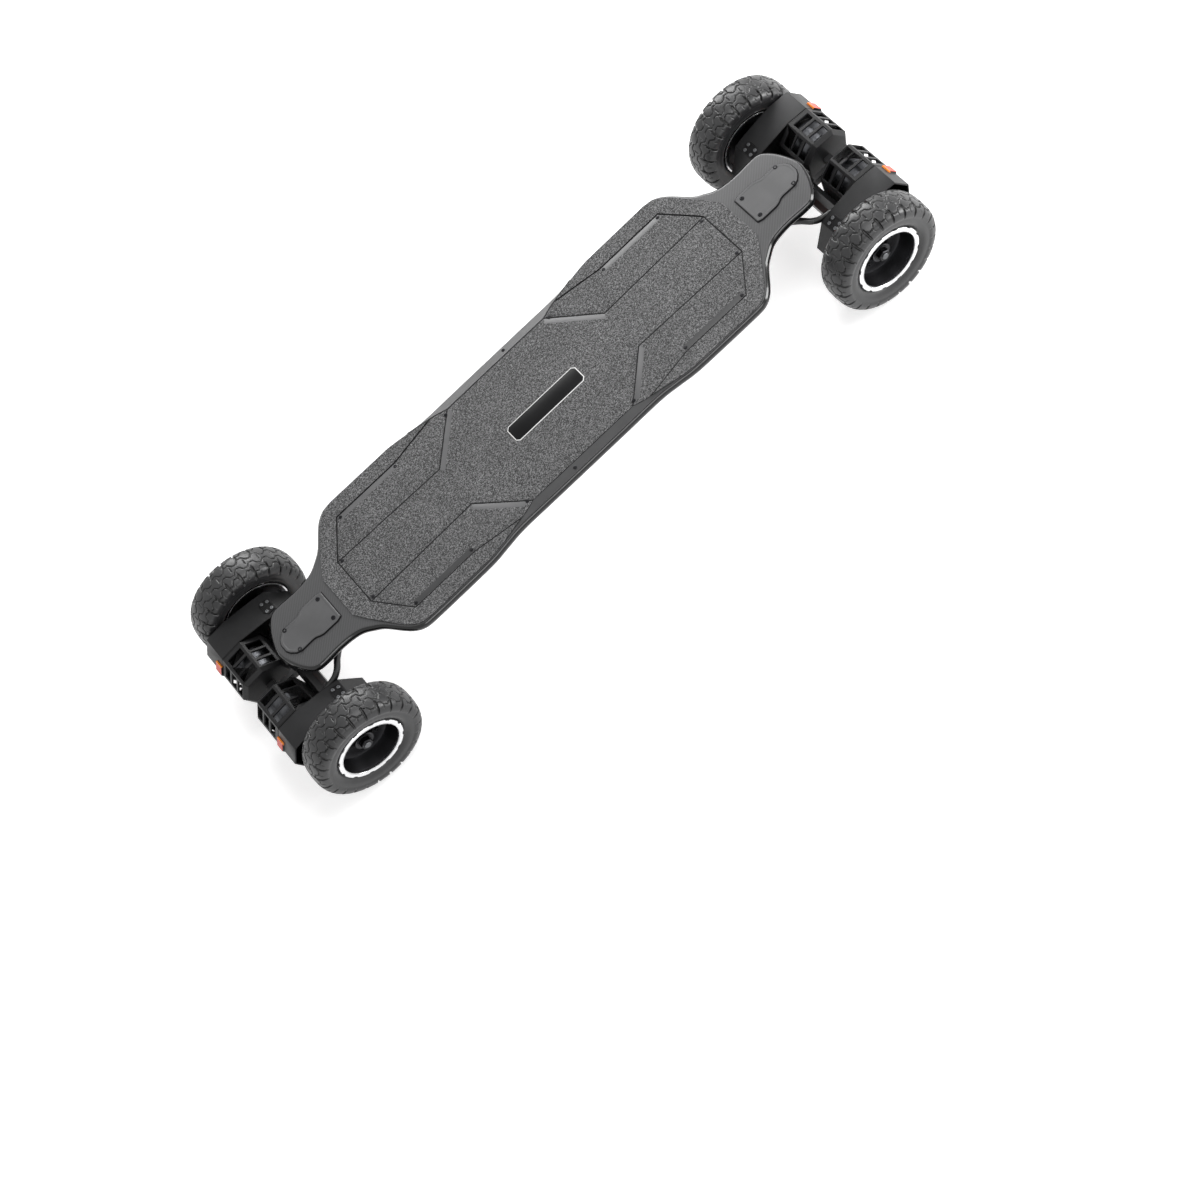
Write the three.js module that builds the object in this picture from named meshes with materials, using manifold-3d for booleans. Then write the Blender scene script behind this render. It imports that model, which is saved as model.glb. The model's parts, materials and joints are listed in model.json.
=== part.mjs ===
// Electric mountainboard: a long deck on two double-pivot trucks, with a motor, a gear drive
// and an air tyre at every corner. Millimetres, +X towards the nose, +Y to the rider's left
// when facing the nose, +Z up. The origin is on the ground, under the middle of the deck.

import * as THREE from 'three';
import { mergeVertices } from 'three/addons/utils/BufferGeometryUtils.js';
import Module from 'manifold-3d';

const wasm = await Module();
wasm.setup();

// Driving sizes of the whole board
const wheelBase = 920;
const track = 281.2;
const tyreDiameter = 165;
const axleHeight = tyreDiameter / 2;
const axleAhead = wheelBase / 2;
const wheelOut = track / 2;

// Clearances and cutters
const gap = 0.3;
const overrun = 6;
const roundSides = 16;
const smallSides = 12;
const nutSides = 6;

// A bore of flat sides whose flats clear a round rod by the gap
function boreFor(radius) {
  return (radius + gap) / Math.cos(Math.PI / smallSides);
}

// Tyre, seen as half of its section: [share of the height from the lip to the crown, share of
// the half width]. Each side has its own row of lugs, half a lug apart, with a groove between.
const tyre = { halfWidth: 26, lipRise: 0.8, lugs: 24, grooveDepth: 2.5 };
const tyreShares = [[0.424, 1], [0.829, 0.923], [1, 0.4615]];
const grooveHalfShare = 0.085;

// Wheel hub, its bead ring and the centre bore
const hub = {
  flangeRadius: 49.6,
  flangeRise: 3,
  flangeThickness: 3.2,
  barrelThickness: 4,
  barrelHalfWidth: 18.7,
  webOuter: -6,
  webThickness: 5,
  dishRadius: 33,
  bossRadius: 15,
  bossOuter: 6,
  bossInner: -18,
  sides: 20,
};
const beadRingThickness = 3;
const barrelRadius = hub.flangeRadius - hub.flangeRise;
const openRadius = barrelRadius - hub.barrelThickness;

// Axle through the truck, with a nut at each end
const axle = { radius: 5, nutRadius: 9.5, nutLength: 7, tipLength: 1.5 };

const axleBore = boreFor(axle.radius);

// Gear drive: a pinion on the motor shaft turns a ring gear that is bolted to the wheel
const drive = {
  module: 3,
  wheelTeeth: 24,
  pinionTeeth: 9,
  addendumShare: 0.78,
  dedendumShare: 1.1,
  tipHalfShare: 0.11,
  rootHalfShare: 0.31,
  gearStep: 20,
  gearWidth: 12,
  sleeveRadius: 18,
  riseAngle: 8.7 * Math.PI / 180,
};
const gearDistance = drive.module * (drive.wheelTeeth + drive.pinionTeeth) / 2;
const gearReach = drive.module * (drive.wheelTeeth / 2 + drive.addendumShare);

// The motor's axis stands ahead of the axle and a little above it
const motorAhead = gearDistance * Math.cos(drive.riseAngle);
const motorHeight = gearDistance * Math.sin(drive.riseAngle);

// Motor: the can that turns, its shaft and its pinion
const motor = { shaftRadius: 4, shaftStep: 0.6, shaftTip: 2 };
const canRadiusShare = 0.7125;
const canEndShares = [0.1235, 0.8765];

// Motor guard: an eight-sided cage round the motor, its windows set by shares of its length
const guard = {
  inner: 13,
  taperLength: 5,
  taperShare: 0.86,
  wall: 3,
  endWall: 2.2,
  windowMargin: 4.2,
  windows: 3,
};
const guardReachShare = 0.808;
const guardReach = gearDistance * guardReachShare;
const windowShare = 0.203;
const windowPitchShare = 0.279;
const firstWindowShare = 0.212;
const guardShares = [
  [0.95, 0.28], [0.55, 0.93], [-0.26, 1.01], [-0.88, 0.53],
  [-0.96, -0.2], [-0.68, -0.82], [-0.12, -1], [0.73, -0.55],
];
const guardBlindFacets = [3, 4, 5];

// Drive housing: a shell round the gears, carried by the end of the hanger. Its back and its
// floor are set by shares of the gear's reach.
const housing = {
  tyreGap: 3.6,
  depth: 41,
  wall: 2.5,
  motorBossRadius: 24,
  clipWidth: 14,
  clipProud: 2.4,
};
const housingShares = [
  [-0.209, 1.056], [-0.717, 0.911], [-1.317, -0.091], [-0.535, -1.1085], [0.887, -1.1085],
];
const skidPad = { thickness: 3.7, bevel: 4.5, inset: 14, width: 23, overhang: 2 };
const housingInner = wheelOut - tyre.halfWidth - housing.tyreGap - housing.depth;
const gearInner = housingInner + drive.gearStep;
const guardOuter = housingInner - gap;
const guardLength = guardOuter - guard.inner;
const motorBossShare = 0.088;

// Trucks: the hanger bar, two tilted kingpins and the two axes that the truck leans about.
// Lengths along X and Z are measured from the middle of the axle.
const tilt = 20 * Math.PI / 180;
const leanAngle = 37 * Math.PI / 180;
const kingpin = {
  radius: 5,
  nutRadius: 8.5,
  nutLength: 6.8,
  washerRadius: 12.5,
  washerLength: 2.2,
  headRadius: 8,
  headLength: 3.6,
};
const bushing = {
  radius: 13.5,
  endRadius: 12.6,
  length: 11.4,
  neckRadius: 7.6,
  topRadius: 12.5,
  topEndRadius: 11,
};
const outerPin = { ahead: -20, up: -13.5, ringThickness: 12, upperGap: 10, topLength: 21.2 };
const innerPin = { ahead: -56.5, up: 8.5, ringThickness: 10, upperGap: 5.6, topLength: 5.2 };
const ring = { radius: 15.5, boreGap: 0.6 };
const ringBore = bushing.neckRadius + ring.boreGap;
const stackFoot = kingpin.nutLength + kingpin.washerLength + gap + bushing.length + gap;
const outerLength = stackFoot + outerPin.ringThickness + outerPin.upperGap + outerPin.topLength;
const innerLength = stackFoot + innerPin.ringThickness + innerPin.upperGap + innerPin.topLength;

const hanger = {
  bottom: -15.5,
  yokeLip: 0.83,
  back: -13,
  guardGap: 0.53,
  chamfer: 7,
  backFoot: 13.5,
  notchRadius: 16.5,
  yokeHalfWidth: 12,
  stubRadius: 5.5,
  stubStart: 24,
  stubEnd: 42,
  stubBlockHalfWidth: 7,
  stubBlockBack: -13,
  stubBlockFront: 0,
  stubBlockTop: 27.5,
  stayHalfWidth: 3,
  stayEnd: 52,
  stayCrossLength: 12,
  stayBottom: 1.5,
  stayTop: 14.5,
};

const link = {
  halfWidth: 15,
  armHalfWidth: 9,
  top: 47.5,
  front: 9,
  lugFloor: 24,
  armFloor: 38,
  armOverlap: 5,
  cupStart: 32,
  bossRadius: 12.5,
  stubRadius: 5,
  stubStart: 20,
  stubEnd: 34,
  stubHalfWidth: 6,
};

const basePlate = {
  backMargin: 2,
  front: -58,
  halfWidth: 28,
  thickness: 6.2,
  wingFront: -28,
  wingInner: 18.5,
  bossRadius: 13,
  lugHalfWidth: 10,
  lugMargin: 0.2,
  lugDepth: 9.4,
  lugStart: 25,
};

// Deck, its outline as shares of the half length and of the half width
const deck = {
  noseReach: 8,
  halfWidth: 123.5,
  rise: 51.5,
  thickness: 14.5,
  bottomInset: 8,
  railInset: 3,
  railRise: 3,
  edgeRise: 7,
  topInset: 1.6,
  topRise: 2,
};
const deckShares = [
  [0, 0.935], [0.256, 0.935], [0.321, 0.964], [0.385, 0.997], [0.609, 1], [0.645, 0.98],
  [0.671, 0.915], [0.692, 0.826], [0.726, 0.656], [0.752, 0.575], [0.78, 0.506],
  [0.812, 0.474], [0.855, 0.463], [0.908, 0.474], [0.934, 0.466], [0.953, 0.421],
  [0.972, 0.324], [0.987, 0.202], [0.997, 0.081], [1, 0],
];
const deckHalfLength = axleAhead + deck.noseReach;
const deckBottom = axleHeight + deck.rise;
const deckTop = deckBottom + deck.thickness;

const grip = { thickness: 1.5, edgeInset: 1 };
const gripShares = [
  [0, 0.911], [0.256, 0.911], [0.321, 0.939], [0.385, 0.972], [0.609, 0.976], [0.641, 0.955],
  [0.662, 0.899], [0.684, 0.806], [0.733, 0.526], [0.769, 0.2915],
];

// Battery tray under the deck; its plan is set by distances back from the axle and by shares
// of its half width
const tray = {
  drop: 30,
  floorThickness: 5,
  halfWidth: 80,
  endBack: 144.5,
  cornerStep: 6.5,
  sideStep: 27.5,
  wallStep: 6,
  wallRise: 6,
  flangeRise: 3.7,
  flangeStep: 18,
  flangeLead: 5,
  wallThickness: 10,
};
const trayCornerShare = 0.6875;
const trayEndShare = 0.3625;
const trayFloor = deckBottom - tray.drop;
const trayEnd = axleAhead - tray.endBack;
const trayCorner = trayEnd - tray.cornerStep;
const traySide = trayEnd - tray.sideStep;

// Hatches: how far each corner lies behind the tray's end, and its share of the half width
const hatchThickness = 2.2;
const hatchBacks = [84, 50.5, 21.5, 9.5, 3.5];
const hatchOutShares = [0.5625, 0.8125, 0.85, 0.6625, 0.35];

// Battery and motor controller, side by side on the tray's floor
const battery = { endGap: 20, end: 42, sideGap: 9, roomAbove: 3.7, chamfer: 5 };
const controller = { start: 60, endGap: 42, sideGap: 18, height: 13, fins: 9, finRise: 6 };
const finShare = 0.5;

// Charge port with its rubber cap, and the power button, on the left wall of the tray
const port = {
  back: 66,
  rise: 14,
  radius: 8.5,
  bore: 5,
  innerStep: 3.5,
  floor: 2,
  flangeHalfLength: 13,
  flangeHalfHeight: 10,
  flangeThickness: 2,
  flangeForward: 9,
};
const cap = {
  radius: 9.3,
  thickness: 3.6,
  plugRadius: 3.6,
  plugLength: 2,
  hingeForward: 14,
  hingeRadius: 2,
  strapHalfHeight: 3,
};
const button = { back: 38, radius: 6, length: 8, proud: 2.4 };
const portAhead = port.back - traySide;
const portHeight = trayFloor + port.rise;
const buttonAhead = button.back - traySide;

// Motor leads: one harness for each truck, through two glands in the end of the tray. The
// loop to a drive housing is [ahead, up] and shares of the way out; the rest [ahead, out, up].
const lead = { radius: 4.5, sides: 8, steps: 34, gland: 5.6, glandOut: 34, glandUp: 41.5 };
const leadLoop = [[-6, 27.5], [-6, 27.5], [-10, 29.5], [-17, 34], [-26, 38]];
const leadLoopShares = [0.993, 0.886, 0.771, 0.657, 0.557];
const leadRun = [
  [-45, 36, 40.5], [-65, 34.5, 41.5], [-84, 35, 42], [-100, 40, 42.5], [-114, 36, 41.7],
  [-128, lead.glandOut, lead.glandUp], [-142, lead.glandOut, lead.glandUp],
  [-157, lead.glandOut, lead.glandUp], [-169, 26, 40.5], [-175, 10, 39.5],
];

const colours = {
  deck: { color: 0x1a1a1b, roughness: 0.25, metalness: 0 },
  grip: { color: 0x585858, roughness: 0.9, metalness: 0 },
  tray: { color: 0x6a6b6c, roughness: 0.45, metalness: 0 },
  hatch: { color: 0x707172, roughness: 0.45, metalness: 0 },
  battery: { color: 0x24405e, roughness: 0.5, metalness: 0 },
  controller: { color: 0x2b2d30, roughness: 0.4, metalness: 0.8 },
  rubber: { color: 0x2f2f30, roughness: 0.85, metalness: 0 },
  softRubber: { color: 0x1c1c1d, roughness: 0.8, metalness: 0 },
  hub: { color: 0x141414, roughness: 0.4, metalness: 0.6 },
  silver: { color: 0xd8d9da, roughness: 0.3, metalness: 1 },
  steel: { color: 0x8e9194, roughness: 0.35, metalness: 1 },
  blackMetal: { color: 0x232425, roughness: 0.45, metalness: 0.7 },
  guard: { color: 0x323334, roughness: 0.55, metalness: 0.2 },
  motor: { color: 0x3a3b3d, roughness: 0.35, metalness: 0.8 },
  orange: { color: 0xf08a32, roughness: 0.35, metalness: 0.4 },
  bushing: { color: 0xee5a30, roughness: 0.5, metalness: 0 },
  cable: { color: 0x151516, roughness: 0.6, metalness: 0 },
};

// Solids, booleans and simple shapes

// One point for each corner, and no triangle that has shrunk to a line
function bare(geometry) {
  const copy = geometry.clone();
  copy.deleteAttribute('normal');
  copy.deleteAttribute('uv');
  const merged = mergeVertices(copy);
  const kept = [];
  for (let i = 0; i < merged.index.count; i += 3) {
    const corners = [0, 1, 2].map((step) => merged.index.getX(i + step));
    if (new Set(corners).size === corners.length) kept.push(...corners);
  }
  merged.setIndex(new THREE.BufferAttribute(new Uint32Array(kept), 1));
  merged.userData = {};
  return merged;
}

// A surface that a boolean made is closed as it is, and is passed on unchanged
function solid(geometry) {
  const mesh = geometry.userData.closed ? geometry : bare(geometry);
  const vertProperties = new Float32Array(mesh.attributes.position.array);
  const triVerts = new Uint32Array(mesh.index.array);
  return new wasm.Manifold(new wasm.Mesh({ numProp: 3, vertProperties, triVerts }));
}

function surface(manifold) {
  const mesh = manifold.getMesh();
  const geometry = new THREE.BufferGeometry();
  geometry.setAttribute('position', new THREE.BufferAttribute(new Float32Array(mesh.vertProperties), 3));
  geometry.setIndex(new THREE.BufferAttribute(new Uint32Array(mesh.triVerts), 1));
  geometry.userData.closed = true;
  return geometry;
}

function cut(geometry, ...tools) {
  return surface(tools.reduce((body, tool) => body.subtract(solid(tool)), solid(geometry)));
}

function join(geometry, ...others) {
  return surface(others.reduce((body, other) => body.add(solid(other)), solid(geometry)));
}

function clip(geometry, other) {
  return surface(solid(geometry).intersect(solid(other)));
}

// Turns every triangle round
function turnedRound(geometry) {
  const index = geometry.index.array;
  for (let i = 0; i < index.length; i += 3) {
    const first = index[i];
    index[i] = index[i + 1];
    index[i + 1] = first;
  }
  return geometry;
}

// The same piece on the other side of the board
function mirrored(geometry) {
  const copy = geometry.clone();
  copy.scale(1, -1, 1);
  return turnedRound(copy);
}

function block(xLow, xHigh, yLow, yHigh, zLow, zHigh) {
  const geometry = new THREE.BoxGeometry(xHigh - xLow, yHigh - yLow, zHigh - zLow);
  return geometry.translate((xLow + xHigh) / 2, (yLow + yHigh) / 2, (zLow + zHigh) / 2);
}

// A closed skin over rings with the same number of points; each ring is a list of [x, y, z]
function loft(given) {
  const clockwise = THREE.ShapeUtils.area(flattened(given[0])) < 0;
  const rings = given.map((points) => (clockwise ? [...points].reverse() : points));
  const count = rings[0].length;
  const positions = rings.flat(2);
  const index = [];
  for (let level = 0; level < rings.length - 1; level += 1) {
    for (let i = 0; i < count; i += 1) {
      const next = (i + 1) % count;
      const a = level * count + i;
      const b = level * count + next;
      index.push(a, b, b + count, a, b + count, a + count);
    }
  }
  const last = (rings.length - 1) * count;
  const flat = flattened(rings[0]);
  for (const [a, b, c] of THREE.ShapeUtils.triangulateShape(flat, [])) {
    index.push(c, b, a);
    index.push(last + a, last + b, last + c);
  }
  const geometry = new THREE.BufferGeometry();
  geometry.setAttribute('position', new THREE.Float32BufferAttribute(positions, 3));
  geometry.setIndex(index);
  return volumeOf(geometry) < 0 ? turnedRound(geometry) : geometry;
}

// A flat ring's points in its own plane, which is square to Z or to Y
function flattened(points) {
  const level = points.every((point) => point[2] === points[0][2]);
  return points.map(([x, y, z]) => new THREE.Vector2(x, level ? y : z));
}

function volumeOf(geometry) {
  const place = geometry.attributes.position;
  const index = geometry.index.array;
  const [a, b, c] = [new THREE.Vector3(), new THREE.Vector3(), new THREE.Vector3()];
  let sum = 0;
  for (let i = 0; i < index.length; i += 3) {
    a.fromBufferAttribute(place, index[i]);
    b.fromBufferAttribute(place, index[i + 1]);
    c.fromBufferAttribute(place, index[i + 2]);
    sum += a.dot(b.cross(c));
  }
  return sum;
}

// An outline of [x, z] carried along Y, or of [x, y] carried up Z
function across(outline, yLow, yHigh) {
  return loft([yLow, yHigh].map((y) => outline.map(([x, z]) => [x, y, z])));
}

function upright(outline, zLow, zHigh) {
  return loft([zLow, zHigh].map((z) => outline.map(([x, y]) => [x, y, z])));
}

// Moves every edge of an outline inwards by a distance and meets the neighbours again
function inset(outline, distance) {
  const count = outline.length;
  const turn = Math.sign(THREE.ShapeUtils.area(outline.map(([x, y]) => new THREE.Vector2(x, y))));
  return outline.map((point, i) => {
    const before = outline[(i + count - 1) % count];
    const after = outline[(i + 1) % count];
    const first = new THREE.Vector2(point[0] - before[0], point[1] - before[1]).normalize();
    const second = new THREE.Vector2(after[0] - point[0], after[1] - point[1]).normalize();
    const bisector = new THREE.Vector2(-first.y - second.y, first.x + second.x).normalize();
    const reach = distance * turn / (bisector.x * -first.y + bisector.y * first.x);
    return [point[0] + bisector.x * reach, point[1] + bisector.y * reach];
  });
}

// A closed profile of [radius, along] turned about the Y axis
function turned(profile, sides) {
  const points = [...profile, profile[0]].map(([radius, along]) => new THREE.Vector2(radius, along));
  const geometry = bare(new THREE.LatheGeometry(points, sides));
  return volumeOf(geometry) < 0 ? turnedRound(geometry) : geometry;
}

// A profile that starts and ends on the axis
function turnedSolid(profile, sides) {
  const ends = [[0, profile[0][1]], ...profile, [0, profile[profile.length - 1][1]]];
  const points = ends.map(([radius, along]) => new THREE.Vector2(radius, along));
  const geometry = bare(new THREE.LatheGeometry(points, sides));
  return volumeOf(geometry) < 0 ? turnedRound(geometry) : geometry;
}

function rodAcross(radius, yLow, yHigh, x, z, sides = roundSides) {
  return turnedSolid([[radius, yLow], [radius, yHigh]], sides).translate(x, 0, z);
}

// Points and rods in the upright plane y = 0, measured along a tilted direction
const pinWay = new THREE.Vector3(-Math.sin(tilt), 0, Math.cos(tilt));
const leanWay = new THREE.Vector3(Math.cos(leanAngle), 0, Math.sin(leanAngle));

function pointAlong(start, way, distance) {
  return start.clone().addScaledVector(way, distance);
}

function alongWay(geometry, start, way) {
  const turn = new THREE.Quaternion().setFromUnitVectors(new THREE.Vector3(0, 1, 0), way);
  return geometry.applyQuaternion(turn).translate(start.x, start.y, start.z);
}

function rodAlong(radius, start, way, low, high, sides = roundSides) {
  return alongWay(turnedSolid([[radius, low], [radius, high]], sides), start, way);
}

const outerFoot = new THREE.Vector3(outerPin.ahead, 0, outerPin.up);
const innerFoot = new THREE.Vector3(innerPin.ahead, 0, innerPin.up);
const outerPivot = pointAlong(outerFoot, pinWay, stackFoot + outerPin.ringThickness / 2);
const innerPivot = pointAlong(innerFoot, pinWay, stackFoot + innerPin.ringThickness / 2);

// Four-way outline from one quarter given as [x, y] from the middle to the tip
function fourWay(quarter) {
  const inside = quarter.filter(([x, y]) => x > 0 && y > 0);
  const onSide = quarter.filter(([x]) => x === 0);
  const onTip = quarter.filter(([, y]) => y === 0);
  const back = [...inside].reverse();
  return [
    ...onSide, ...inside, ...onTip,
    ...back.map(([x, y]) => [x, -y]), ...onSide.map(([x, y]) => [x, -y]),
    ...inside.map(([x, y]) => [-x, -y]), ...onTip.map(([x, y]) => [-x, y]),
    ...back.map(([x, y]) => [-x, y]),
  ];
}

// Wheels

// The tyre's skin is rings of points across its section, one for each edge and one for the
// foot of every groove. The rings are chords, so they stand out enough to clear round bodies.
function tyreGeometry() {
  const step = 2 * Math.PI / tyre.lugs;
  const flatShare = Math.cos(step * (1 - 2 * grooveHalfShare) / 2);
  const seat = (barrelRadius + 2 * gap) / flatShare;
  const crown = tyreDiameter / 2 / Math.cos(step * grooveHalfShare);
  const lip = hub.flangeRadius + tyre.lipRise;
  const bead = hub.barrelHalfWidth - gap;
  const half = [
    { radius: seat, out: bead, groove: 0 }, { radius: lip, out: bead, groove: 0 },
    ...tyreShares.map(([rise, out], i) => ({
      radius: lip + (crown - lip) * rise,
      out: tyre.halfWidth * out,
      groove: i > 0 ? tyre.grooveDepth : 0,
    })),
  ];
  const section = [
    ...half.map((point) => ({ ...point, turn: 0, side: 1 })),
    ...[...half].reverse().map((point) => ({ ...point, turn: step / 2, side: -1 })),
  ];
  const positions = [];
  for (let i = 0; i < tyre.lugs; i += 1) {
    for (const [share, deep] of [[-grooveHalfShare, 0], [0, 1], [grooveHalfShare, 0]]) {
      for (const { radius, out, groove, turn, side } of section) {
        const angle = step * (i + 0.5 + share) + turn;
        const reach = radius - groove * deep;
        positions.push(reach * Math.sin(angle), side * out, reach * Math.cos(angle));
      }
    }
  }
  return closedGrid(positions, section.length);
}

// Rings of points, all of one count, joined each to the next and the last to the first
function closedGrid(positions, count) {
  const total = positions.length / 3;
  const index = [];
  for (let start = 0; start < total; start += count) {
    for (let i = 0; i < count; i += 1) {
      const a = start + i;
      const b = start + (i + 1) % count;
      const [c, d] = [(a + count) % total, (b + count) % total];
      index.push(a, b, d, a, d, c);
    }
  }
  const geometry = new THREE.BufferGeometry();
  geometry.setAttribute('position', new THREE.Float32BufferAttribute(positions, 3));
  geometry.setIndex(index);
  return volumeOf(geometry) < 0 ? turnedRound(geometry) : geometry;
}

function hubGeometry() {
  const flangeInner = -hub.barrelHalfWidth - hub.flangeThickness;
  const webInner = hub.webOuter - hub.webThickness;
  return turned([
    [axleBore, hub.bossOuter], [hub.bossRadius, hub.bossOuter], [hub.dishRadius, hub.webOuter],
    [openRadius, hub.barrelHalfWidth], [barrelRadius, hub.barrelHalfWidth],
    [barrelRadius, -hub.barrelHalfWidth], [hub.flangeRadius, -hub.barrelHalfWidth],
    [hub.flangeRadius, flangeInner], [openRadius, flangeInner],
    [openRadius, webInner], [hub.bossRadius, hub.bossInner], [axleBore, hub.bossInner],
  ], hub.sides);
}

function beadRingGeometry() {
  const low = hub.barrelHalfWidth + gap;
  const high = low + beadRingThickness;
  return turned([
    [openRadius, low], [hub.flangeRadius, low], [hub.flangeRadius, high], [openRadius, high],
  ], hub.sides);
}

// Gear drive. A tooth's flanks are straight lines between its root and its tip.

function gearOutline(teeth, turn) {
  const pitchRadius = drive.module * teeth / 2;
  const tip = pitchRadius + drive.module * drive.addendumShare;
  const root = pitchRadius - drive.module * drive.dedendumShare;
  const step = 2 * Math.PI / teeth;
  const outline = [];
  for (let i = 0; i < teeth; i += 1) {
    for (const [share, radius] of [
      [-drive.rootHalfShare, root], [-drive.tipHalfShare, tip],
      [drive.tipHalfShare, tip], [drive.rootHalfShare, root],
    ]) {
      const angle = turn + step * (i + share);
      outline.push([radius * Math.cos(angle), radius * Math.sin(angle)]);
    }
  }
  return outline;
}

function wheelGearGeometry() {
  const start = gearInner - wheelOut;
  const end = hub.bossInner - gap;
  const teeth = across(gearOutline(drive.wheelTeeth, drive.riseAngle), start, start + drive.gearWidth);
  const sleeve = rodAcross(drive.sleeveRadius, start, end, 0, 0);
  return cut(join(teeth, sleeve), rodAcross(axleBore, start - overrun, end + overrun, 0, 0));
}

function rotorGeometry() {
  const pinionTurn = drive.riseAngle + Math.PI + Math.PI / drive.pinionTeeth;
  const gearOuter = gearInner + drive.gearWidth;
  const canRadius = guardReach * canRadiusShare;
  const [canInner, canOuter] = canEndShares.map((share) => guard.inner + guardLength * share);
  const can = turnedSolid([
    [motor.shaftRadius, guard.inner + motor.shaftStep], [motor.shaftRadius, canInner],
    [canRadius, canInner], [canRadius, canOuter],
    [motor.shaftRadius, canOuter], [motor.shaftRadius, gearOuter + motor.shaftTip],
  ], roundSides);
  return join(can, across(gearOutline(drive.pinionTeeth, pinionTurn), gearInner, gearOuter));
}

// Motor guard and drive housing, on the left side of the truck

const guardOutline = guardShares.map(([along, up]) => [
  motorAhead + guardReach * along,
  motorHeight + guardReach * up,
]);
const [guardFront, guardRoof, guardCrest] = guardOutline;
const [guardFoot] = [...guardOutline].reverse();

function shrunk(outline, share) {
  return outline.map(([x, z]) => [
    motorAhead + (x - motorAhead) * share,
    motorHeight + (z - motorHeight) * share,
  ]);
}

function guardWindow(facet, along) {
  const [x0, z0] = guardOutline[facet];
  const [x1, z1] = guardOutline[(facet + 1) % guardOutline.length];
  const width = Math.hypot(x1 - x0, z1 - z0) - 2 * guard.windowMargin;
  const length = guardLength * windowShare;
  const cutter = new THREE.BoxGeometry(width, length, 2 * guard.wall + overrun);
  cutter.rotateY(-Math.atan2(z1 - z0, x1 - x0));
  return cutter.translate((x0 + x1) / 2, along, (z0 + z1) / 2);
}

function guardGeometry() {
  const small = shrunk(guardOutline, guard.taperShare);
  const taperEnd = guard.inner + guard.taperLength;
  const levels = [[small, guard.inner], [guardOutline, taperEnd], [guardOutline, guardOuter]];
  const shell = loft(levels.map(([outline, y]) => outline.map(([x, z]) => [x, y, z])));
  const hollow = loft([
    [inset(small, guard.wall), guard.inner + guard.endWall],
    [inset(guardOutline, guard.wall), taperEnd],
    [inset(guardOutline, guard.wall), guardOuter + overrun],
  ].map(([outline, y]) => outline.map(([x, z]) => [x, y, z])));
  const shaftHole = rodAcross(
    boreFor(motor.shaftRadius), guard.inner - overrun, taperEnd, motorAhead, motorHeight, smallSides,
  );
  const windows = [];
  for (let facet = 0; facet < guardOutline.length; facet += 1) {
    if (guardBlindFacets.includes(facet)) continue;
    for (let i = 0; i < guard.windows; i += 1) {
      const share = firstWindowShare + i * windowPitchShare;
      windows.push(guardWindow(facet, guard.inner + guardLength * share));
    }
  }
  return cut(shell, hollow, shaftHole, ...windows);
}

const housingCorners = housingShares.map(([along, up]) => [gearReach * along, gearReach * up]);
const housingOutline = [guardFront, guardRoof, guardCrest, ...housingCorners, guardFoot];

function housingGeometry() {
  const outer = housingInner + housing.depth;
  const bossInner = housingInner - guardLength * motorBossShare;
  const shell = across(housingOutline, housingInner, outer);
  const boss = rodAcross(
    housing.motorBossRadius, bossInner, housingInner + housing.wall, motorAhead, motorHeight,
  );
  const band = clipBand([guardRoof, guardFront, guardFoot], [motorAhead, motorHeight]);
  const hollow = across(inset(housingOutline, housing.wall), housingInner + housing.wall, outer + overrun);
  const holes = [
    rodAcross(boreFor(motor.shaftRadius), bossInner - overrun, outer, motorAhead, motorHeight, smallSides),
    rodAcross(axleBore, bossInner - overrun, outer, 0, 0, smallSides),
  ];
  return cut(join(shell, boss, band), hollow, ...holes);
}

// The end clip wraps the outboard corner of the housing, a little proud of it
function clipBand([first, middle, last], [centreX, centreZ]) {
  const proud = ([x, z], share) => {
    const reach = Math.hypot(x - centreX, z - centreZ);
    const scale = share + housing.clipProud / reach;
    return [centreX + (x - centreX) * scale, centreZ + (z - centreZ) * scale];
  };
  const between = ([x0, z0], [x1, z1], share) => [x0 + (x1 - x0) * share, z0 + (z1 - z0) * share];
  const halfShare = 0.5;
  const insideShare = 0.9;
  const start = between(middle, first, halfShare);
  const insideScale = (point) => [
    centreX + (point[0] - centreX) * insideShare,
    centreZ + (point[1] - centreZ) * insideShare,
  ];
  const outline = [
    insideScale(start), proud(start, 1), proud(middle, 1), proud(last, 1),
    insideScale(last), insideScale(middle),
  ];
  return across(outline, housingInner, housingInner + housing.clipWidth);
}

function skidPadGeometry() {
  const [footAhead, footBehind] = [...housingCorners].reverse();
  const top = footAhead[1] - gap;
  const bottom = top - skidPad.thickness;
  const back = footBehind[0] - skidPad.overhang;
  const front = footAhead[0] + skidPad.overhang;
  const inner = housingInner + skidPad.inset;
  const outline = [
    [back, top], [back + skidPad.bevel, bottom], [front - skidPad.bevel, bottom], [front, top],
  ];
  return across(outline, inner, inner + skidPad.width);
}

// Trucks, drawn about the middle of the front axle; the rear truck is the same one turned
// end for end

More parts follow.
